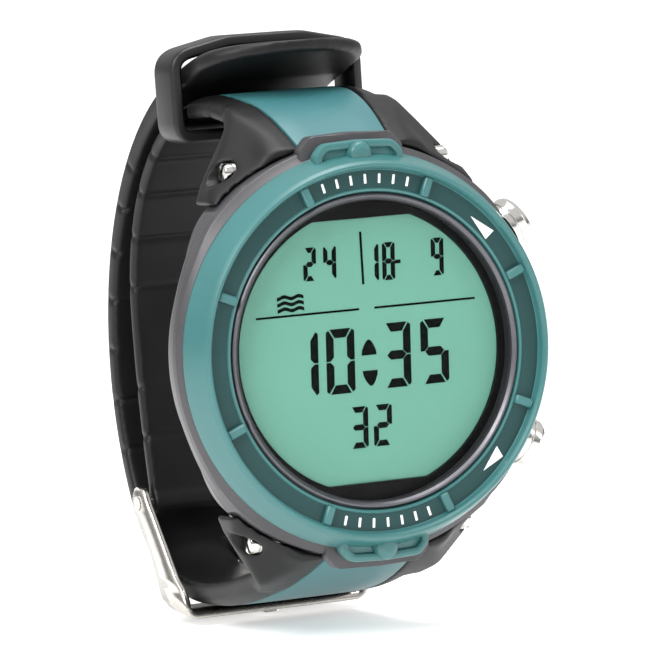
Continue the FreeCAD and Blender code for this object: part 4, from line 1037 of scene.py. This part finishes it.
def build_buckle():
    """The bent sheet frame with eyes for the pin's ends, and its tongue."""
    levels = [(-18.06, 47.9, 48.6), (-18.3, 47.1, 49.4), (-18.8, 46.5, 49.95), (-19.5, 46.1, 50.3),
              (-20.3, 45.6, 50.43), (-21.5, 44.6, 49.9), (-23.5, 43.0, 48.2), (-25.5, 41.4, 46.5),
              (-27.4, 39.9, 45.2), (-29.2, 38.4, 44.3), (-30.3, 36.9, 43.75), (-31.2, 35.9, 43.3),
              (-32.0, 35.5, 42.6)]
    half, gauge = 12.3, 0.5
    stops = [(-half, z, (-1.0, 0.0), front, back) for z, front, back in levels]
    for step in range(1, 7):
        angle = math.radians(15 * step)
        stops.append((-half + 1.3 * (1 - math.cos(angle)), -32.3 - 1.3 * math.sin(angle),
                      (-math.cos(angle), -math.sin(angle)), 35.35, 42.4 - 2.0 * step / 6))
    stops += [(x, -33.6, (0.0, -1.0), 35.32, 40.38) for x in (-9, -5, 0)]
    stops += [(-x, z, (-out[0], out[1]), front, back) for x, z, out, front, back in reversed(stops[:-1])]
    rings = []
    for x, z, out, front, back in stops:
        ring = []
        span = back - front
        ease = min(0.3, span * 0.3)
        for depth, side in ((front, -0.5), (front + ease, -1), (back - ease, -1), (back, -0.5), (back, 0.5),
                            (back - ease, 1), (front + ease, 1), (front, 0.5)):
            tilt = 0.088 * (depth - 35.3) if z < -32.2 else 0.0
            ring.append(place(x + out[0] * gauge * side, depth, z + out[1] * gauge * side + tilt))
        rings.append(ring)
    sheet = lofted("buckle_sheet", rings)
    eye = lathe_along("eye", [(0, -20), (0.86, -20), (0.86, 20), (0, 20)],
                      PIN_SPOT, SIDEWAYS, 32)
    finished(carved(sheet, eye), satin_steel(), "buckle", ("buckle_frame",), 50)

    blade = [(47.3, -21.3), (44.0, -27.3), (41.0, -32.7), (40.5, -33.7), (39.4, -33.95), (37.7, -34.05),
             (37.65, -34.6), (39.4, -34.62), (41.0, -34.35), (41.7, -33.5), (44.9, -27.9), (48.4, -21.8)]
    rings = []
    for x, inset in ((-1.08, 0.2), (-0.9, 0.05), (-0.6, 0), (0.6, 0), (0.9, 0.05), (1.08, 0.2)):
        middle = Vector((43.5, -28.5))
        rings.append([place(x, *(Vector(spot) + (middle - Vector(spot)).normalized() * inset))
                      for spot in blade])
    tongue = lofted("tongue_blade", rings)
    ring = lathe_along("tongue_eye", rounded([(0.86, -1.08, 0.1), (1.7, -1.08, 0.2), (1.7, 1.08, 0.2),
                                              (0.86, 1.08, 0.1)], 3),
                       PIN_SPOT, SIDEWAYS, 48)
    finished(joined("tongue", [tongue, ring]), polished_steel(), "tongue", ("buckle_tongue",), 45)


def build_keeper():
    """The hard rubber loop that holds the long strap's tail."""
    path = rounded([(12.2, 26.35, 1.9), (12.25, 36.3, 2.6), (5.0, 37.85, 7), (-5.0, 37.85, 7),
                    (-12.25, 36.3, 2.6), (-12.2, 26.35, 1.9)], 8)
    rings = []
    for index, spot in enumerate(path):
        ahead = path[(index + 1) % len(path)] - path[index - 1]
        out = Vector((ahead.y, -ahead.x)).normalized() * 0.74
        ring = []
        for side, depth in ((-0.55, 27.42), (0.45, 27.42), (0.85, 27.62), (1, 28.1), (1, 30.3), (1, 32.5),
                            (0.85, 32.98), (0.45, 33.18), (-0.55, 33.18), (-1, 32.8), (-1, 30.3), (-1, 27.8)):
            ring.append(place(spot.x + out.x * side, depth, spot.y + out.y * side))
        rings.append(ring)
    keeper = lofted("strap_keeper", rings, loop=True)
    finished(keeper, keeper_rubber(), "keeper", ("keeper",), 45)


# ---------------------------------------------------------------- studio

def area_light(name, spot, aim, width, height, watts):
    data = bpy.data.lights.new(name, "AREA")
    data.shape = "RECTANGLE"
    data.size = width
    data.size_y = height
    data.energy = watts
    item = bpy.data.objects.new(name, data)
    item.location = spot
    item.rotation_euler = (Vector(aim) - Vector(spot)).to_track_quat("-Z", "Y").to_euler()
    bpy.context.scene.collection.objects.link(item)


def build_studio():
    """A pale floor, soft lights and the camera."""
    right = Vector((0.905, -0.4195, -0.0678)).normalized()
    away = Vector((-0.415, -0.907, 0.068))
    away = (away - right * away.dot(right)).normalized()
    up = away.cross(right)
    middle = right * -6.7 + up * 3.12 - Vector((0, BACK_DEPTH, 0))
    data = bpy.data.cameras.new("camera")
    data.sensor_width = 36.0
    data.lens = 278.6
    data.clip_start = 0.05
    data.clip_end = 100.0
    camera = bpy.data.objects.new("camera", data)
    camera.matrix_world = Matrix.Translation((middle + away * 600) / 1000) @ Matrix(
        (right, up, away)).transposed().to_4x4()
    bpy.context.scene.collection.objects.link(camera)
    bpy.context.scene.camera = camera

    level = cad_box[0][2] - 0.0004
    reach = 40.0
    corners = [Vector((x, y, level)) for x, y in ((-reach, -reach), (reach, -reach), (reach, reach),
                                                  (-reach, reach))]
    floor = object_from("floor", corners, [(0, 1, 2, 3)])
    floor.data.materials.append(finish_material("painted_floor", linear("#f4f4f3"), linear("#f1f1f0"), 0.7,
                                                grain=2.0, relief=0.0, patch=400.0,
                                                Emission_Color=(1.0, 1.0, 1.0, 1.0), Emission_Strength=0.5))
    bpy.context.scene.view_settings.view_transform = "Standard"

    # white at the horizon, darker low down so that metal and glass show contrast, bright overhead
    world = bpy.data.worlds.new("studio")
    world.use_nodes = True
    tree = world.node_tree
    tree.nodes.clear()
    towards = node(tree, "ShaderNodeTexCoord").outputs["Generated"]
    height = node(tree, "ShaderNodeSeparateXYZ", {"Vector": towards}).outputs["Z"]
    ramp = node(tree, "ShaderNodeValToRGB", {"Fac": height})
    stops = ((0.0, 1.0), (0.012, 1.0), (0.03, 0.25), (0.1, 0.25), (0.4, 0.85))
    for spot, _strength in stops[1:-1]:
        ramp.color_ramp.elements.new(spot)
    for element, (spot, strength) in zip(ramp.color_ramp.elements, stops):
        element.position = spot
        element.color = (strength, strength, strength, 1.0)
    glow = ramp.outputs[0]
    lit = node(tree, "ShaderNodeBackground", {"Color": (1.0, 1.0, 1.0, 1.0), "Strength": glow})
    node(tree, "ShaderNodeOutputWorld", {"Surface": lit.outputs[0]})
    bpy.context.scene.world = world
    area_light("key", (-0.42, -0.28, 0.40), (0, 0, 0), 0.30, 0.30, 3.2)
    area_light("top", (0.05, -0.05, 0.50), (0, 0, 0), 0.35, 0.25, 2.4)
    area_light("side", (0.45, -0.30, 0.12), (0, 0, 0), 0.15, 0.35, 0.35)


# ---------------------------------------------------------------- operators and panel

class DIVE_OT_stage_studio(bpy.types.Operator):
    """Build the floor, the lights and the camera"""
    bl_idname = "dive.stage_studio"
    bl_label = "Studio"

    def execute(self, context):
        build_studio()
        return {"FINISHED"}


class DIVE_OT_inner_parts(bpy.types.Operator):
    """Give the parts inside the case their materials"""
    bl_idname = "dive.inner_parts"
    bl_label = "Inner Parts"

    def execute(self, context):
        build_inner_parts()
        return {"FINISHED"}


class DIVE_OT_case(bpy.types.Operator):
    """Build the moulded case with its collars and holes"""
    bl_idname = "dive.case"
    bl_label = "Case"

    def execute(self, context):
        build_case()
        return {"FINISHED"}


class DIVE_OT_bezel(bpy.types.Operator):
    """Build the bezel ring with its two tabs"""
    bl_idname = "dive.bezel"
    bl_label = "Bezel"

    def execute(self, context):
        build_bezel()
        return {"FINISHED"}


class DIVE_OT_bezel_details(bpy.types.Operator):
    """Build the channel's bars and the printed marks"""
    bl_idname = "dive.bezel_details"
    bl_label = "Bezel Details"

    def execute(self, context):
        build_bezel_details()
        return {"FINISHED"}


class DIVE_OT_window(bpy.types.Operator):
    """Build the retaining ring, the glass and the mask"""
    bl_idname = "dive.window"
    bl_label = "Window"

    def execute(self, context):
        build_window()
        return {"FINISHED"}


class DIVE_OT_display(bpy.types.Operator):
    """Build the display's segments and their shadow"""
    bl_idname = "dive.display"
    bl_label = "Display"

    def execute(self, context):
        build_display()
        return {"FINISHED"}


class DIVE_OT_back(bpy.types.Operator):
    """Build the back cover, its screws, the battery cap and the sensor grille"""
    bl_idname = "dive.back"
    bl_label = "Back"

    def execute(self, context):
        build_back()
        return {"FINISHED"}


class DIVE_OT_buttons(bpy.types.Operator):
    """Build the two push buttons"""
    bl_idname = "dive.buttons"
    bl_label = "Buttons"

    def execute(self, context):
        build_buttons()
        return {"FINISHED"}


class DIVE_OT_strap_screws(bpy.types.Operator):
    """Build the slotted screws of the lug tubes"""
    bl_idname = "dive.strap_screws"
    bl_label = "Strap Screws"

    def execute(self, context):
        build_strap_screws()
        return {"FINISHED"}


class DIVE_OT_upper_strap(bpy.types.Operator):
    """Build the short strap and its insert"""
    bl_idname = "dive.upper_strap"
    bl_label = "Short Strap"

    def execute(self, context):
        build_upper_strap()
        return {"FINISHED"}


class DIVE_OT_lower_strap(bpy.types.Operator):
    """Build the long strap and its insert"""
    bl_idname = "dive.lower_strap"
    bl_label = "Long Strap"

    def execute(self, context):
        build_lower_strap()
        return {"FINISHED"}


class DIVE_OT_buckle(bpy.types.Operator):
    """Build the buckle's sheet and its tongue"""
    bl_idname = "dive.buckle"
    bl_label = "Buckle"

    def execute(self, context):
        build_buckle()
        return {"FINISHED"}


class DIVE_OT_keeper(bpy.types.Operator):
    """Build the keeper"""
    bl_idname = "dive.keeper"
    bl_label = "Keeper"

    def execute(self, context):
        build_keeper()
        return {"FINISHED"}


PIECES = [DIVE_OT_stage_studio, DIVE_OT_inner_parts, DIVE_OT_case, DIVE_OT_bezel,
          DIVE_OT_bezel_details, DIVE_OT_window, DIVE_OT_display, DIVE_OT_back,
          DIVE_OT_buttons, DIVE_OT_strap_screws, DIVE_OT_upper_strap, DIVE_OT_lower_strap,
          DIVE_OT_buckle, DIVE_OT_keeper]


class DIVE_PT_panel(bpy.types.Panel):
    """Sizes, colours and the pieces of the dive computer"""
    bl_label = "Dive Computer"
    bl_idname = "DIVE_PT_panel"
    bl_space_type = "VIEW_3D"
    bl_region_type = "UI"
    bl_category = "Dive Computer"

    def draw(self, context):
        column = self.layout.column()
        for group in (context.scene.dive_sizes, context.scene.dive_colours):
            for key in group.__annotations__:
                column.prop(group, key)
        for piece in PIECES:
            column.operator(piece.bl_idname)


CLASSES = [DiveComputerSizes, DiveComputerColours, *PIECES, DIVE_PT_panel]


def register():
    for item in CLASSES:
        bpy.utils.register_class(item)
    bpy.types.Scene.dive_sizes = PointerProperty(type=DiveComputerSizes)
    bpy.types.Scene.dive_colours = PointerProperty(type=DiveComputerColours)


def unregister():
    del bpy.types.Scene.dive_colours
    del bpy.types.Scene.dive_sizes
    for item in reversed(CLASSES):
        bpy.utils.unregister_class(item)


def main():
    """Builds everything."""
    register()
    for piece in PIECES:
        getattr(bpy.ops.dive, piece.bl_idname.split(".")[1])()


if __name__ == "__main__":
    main()
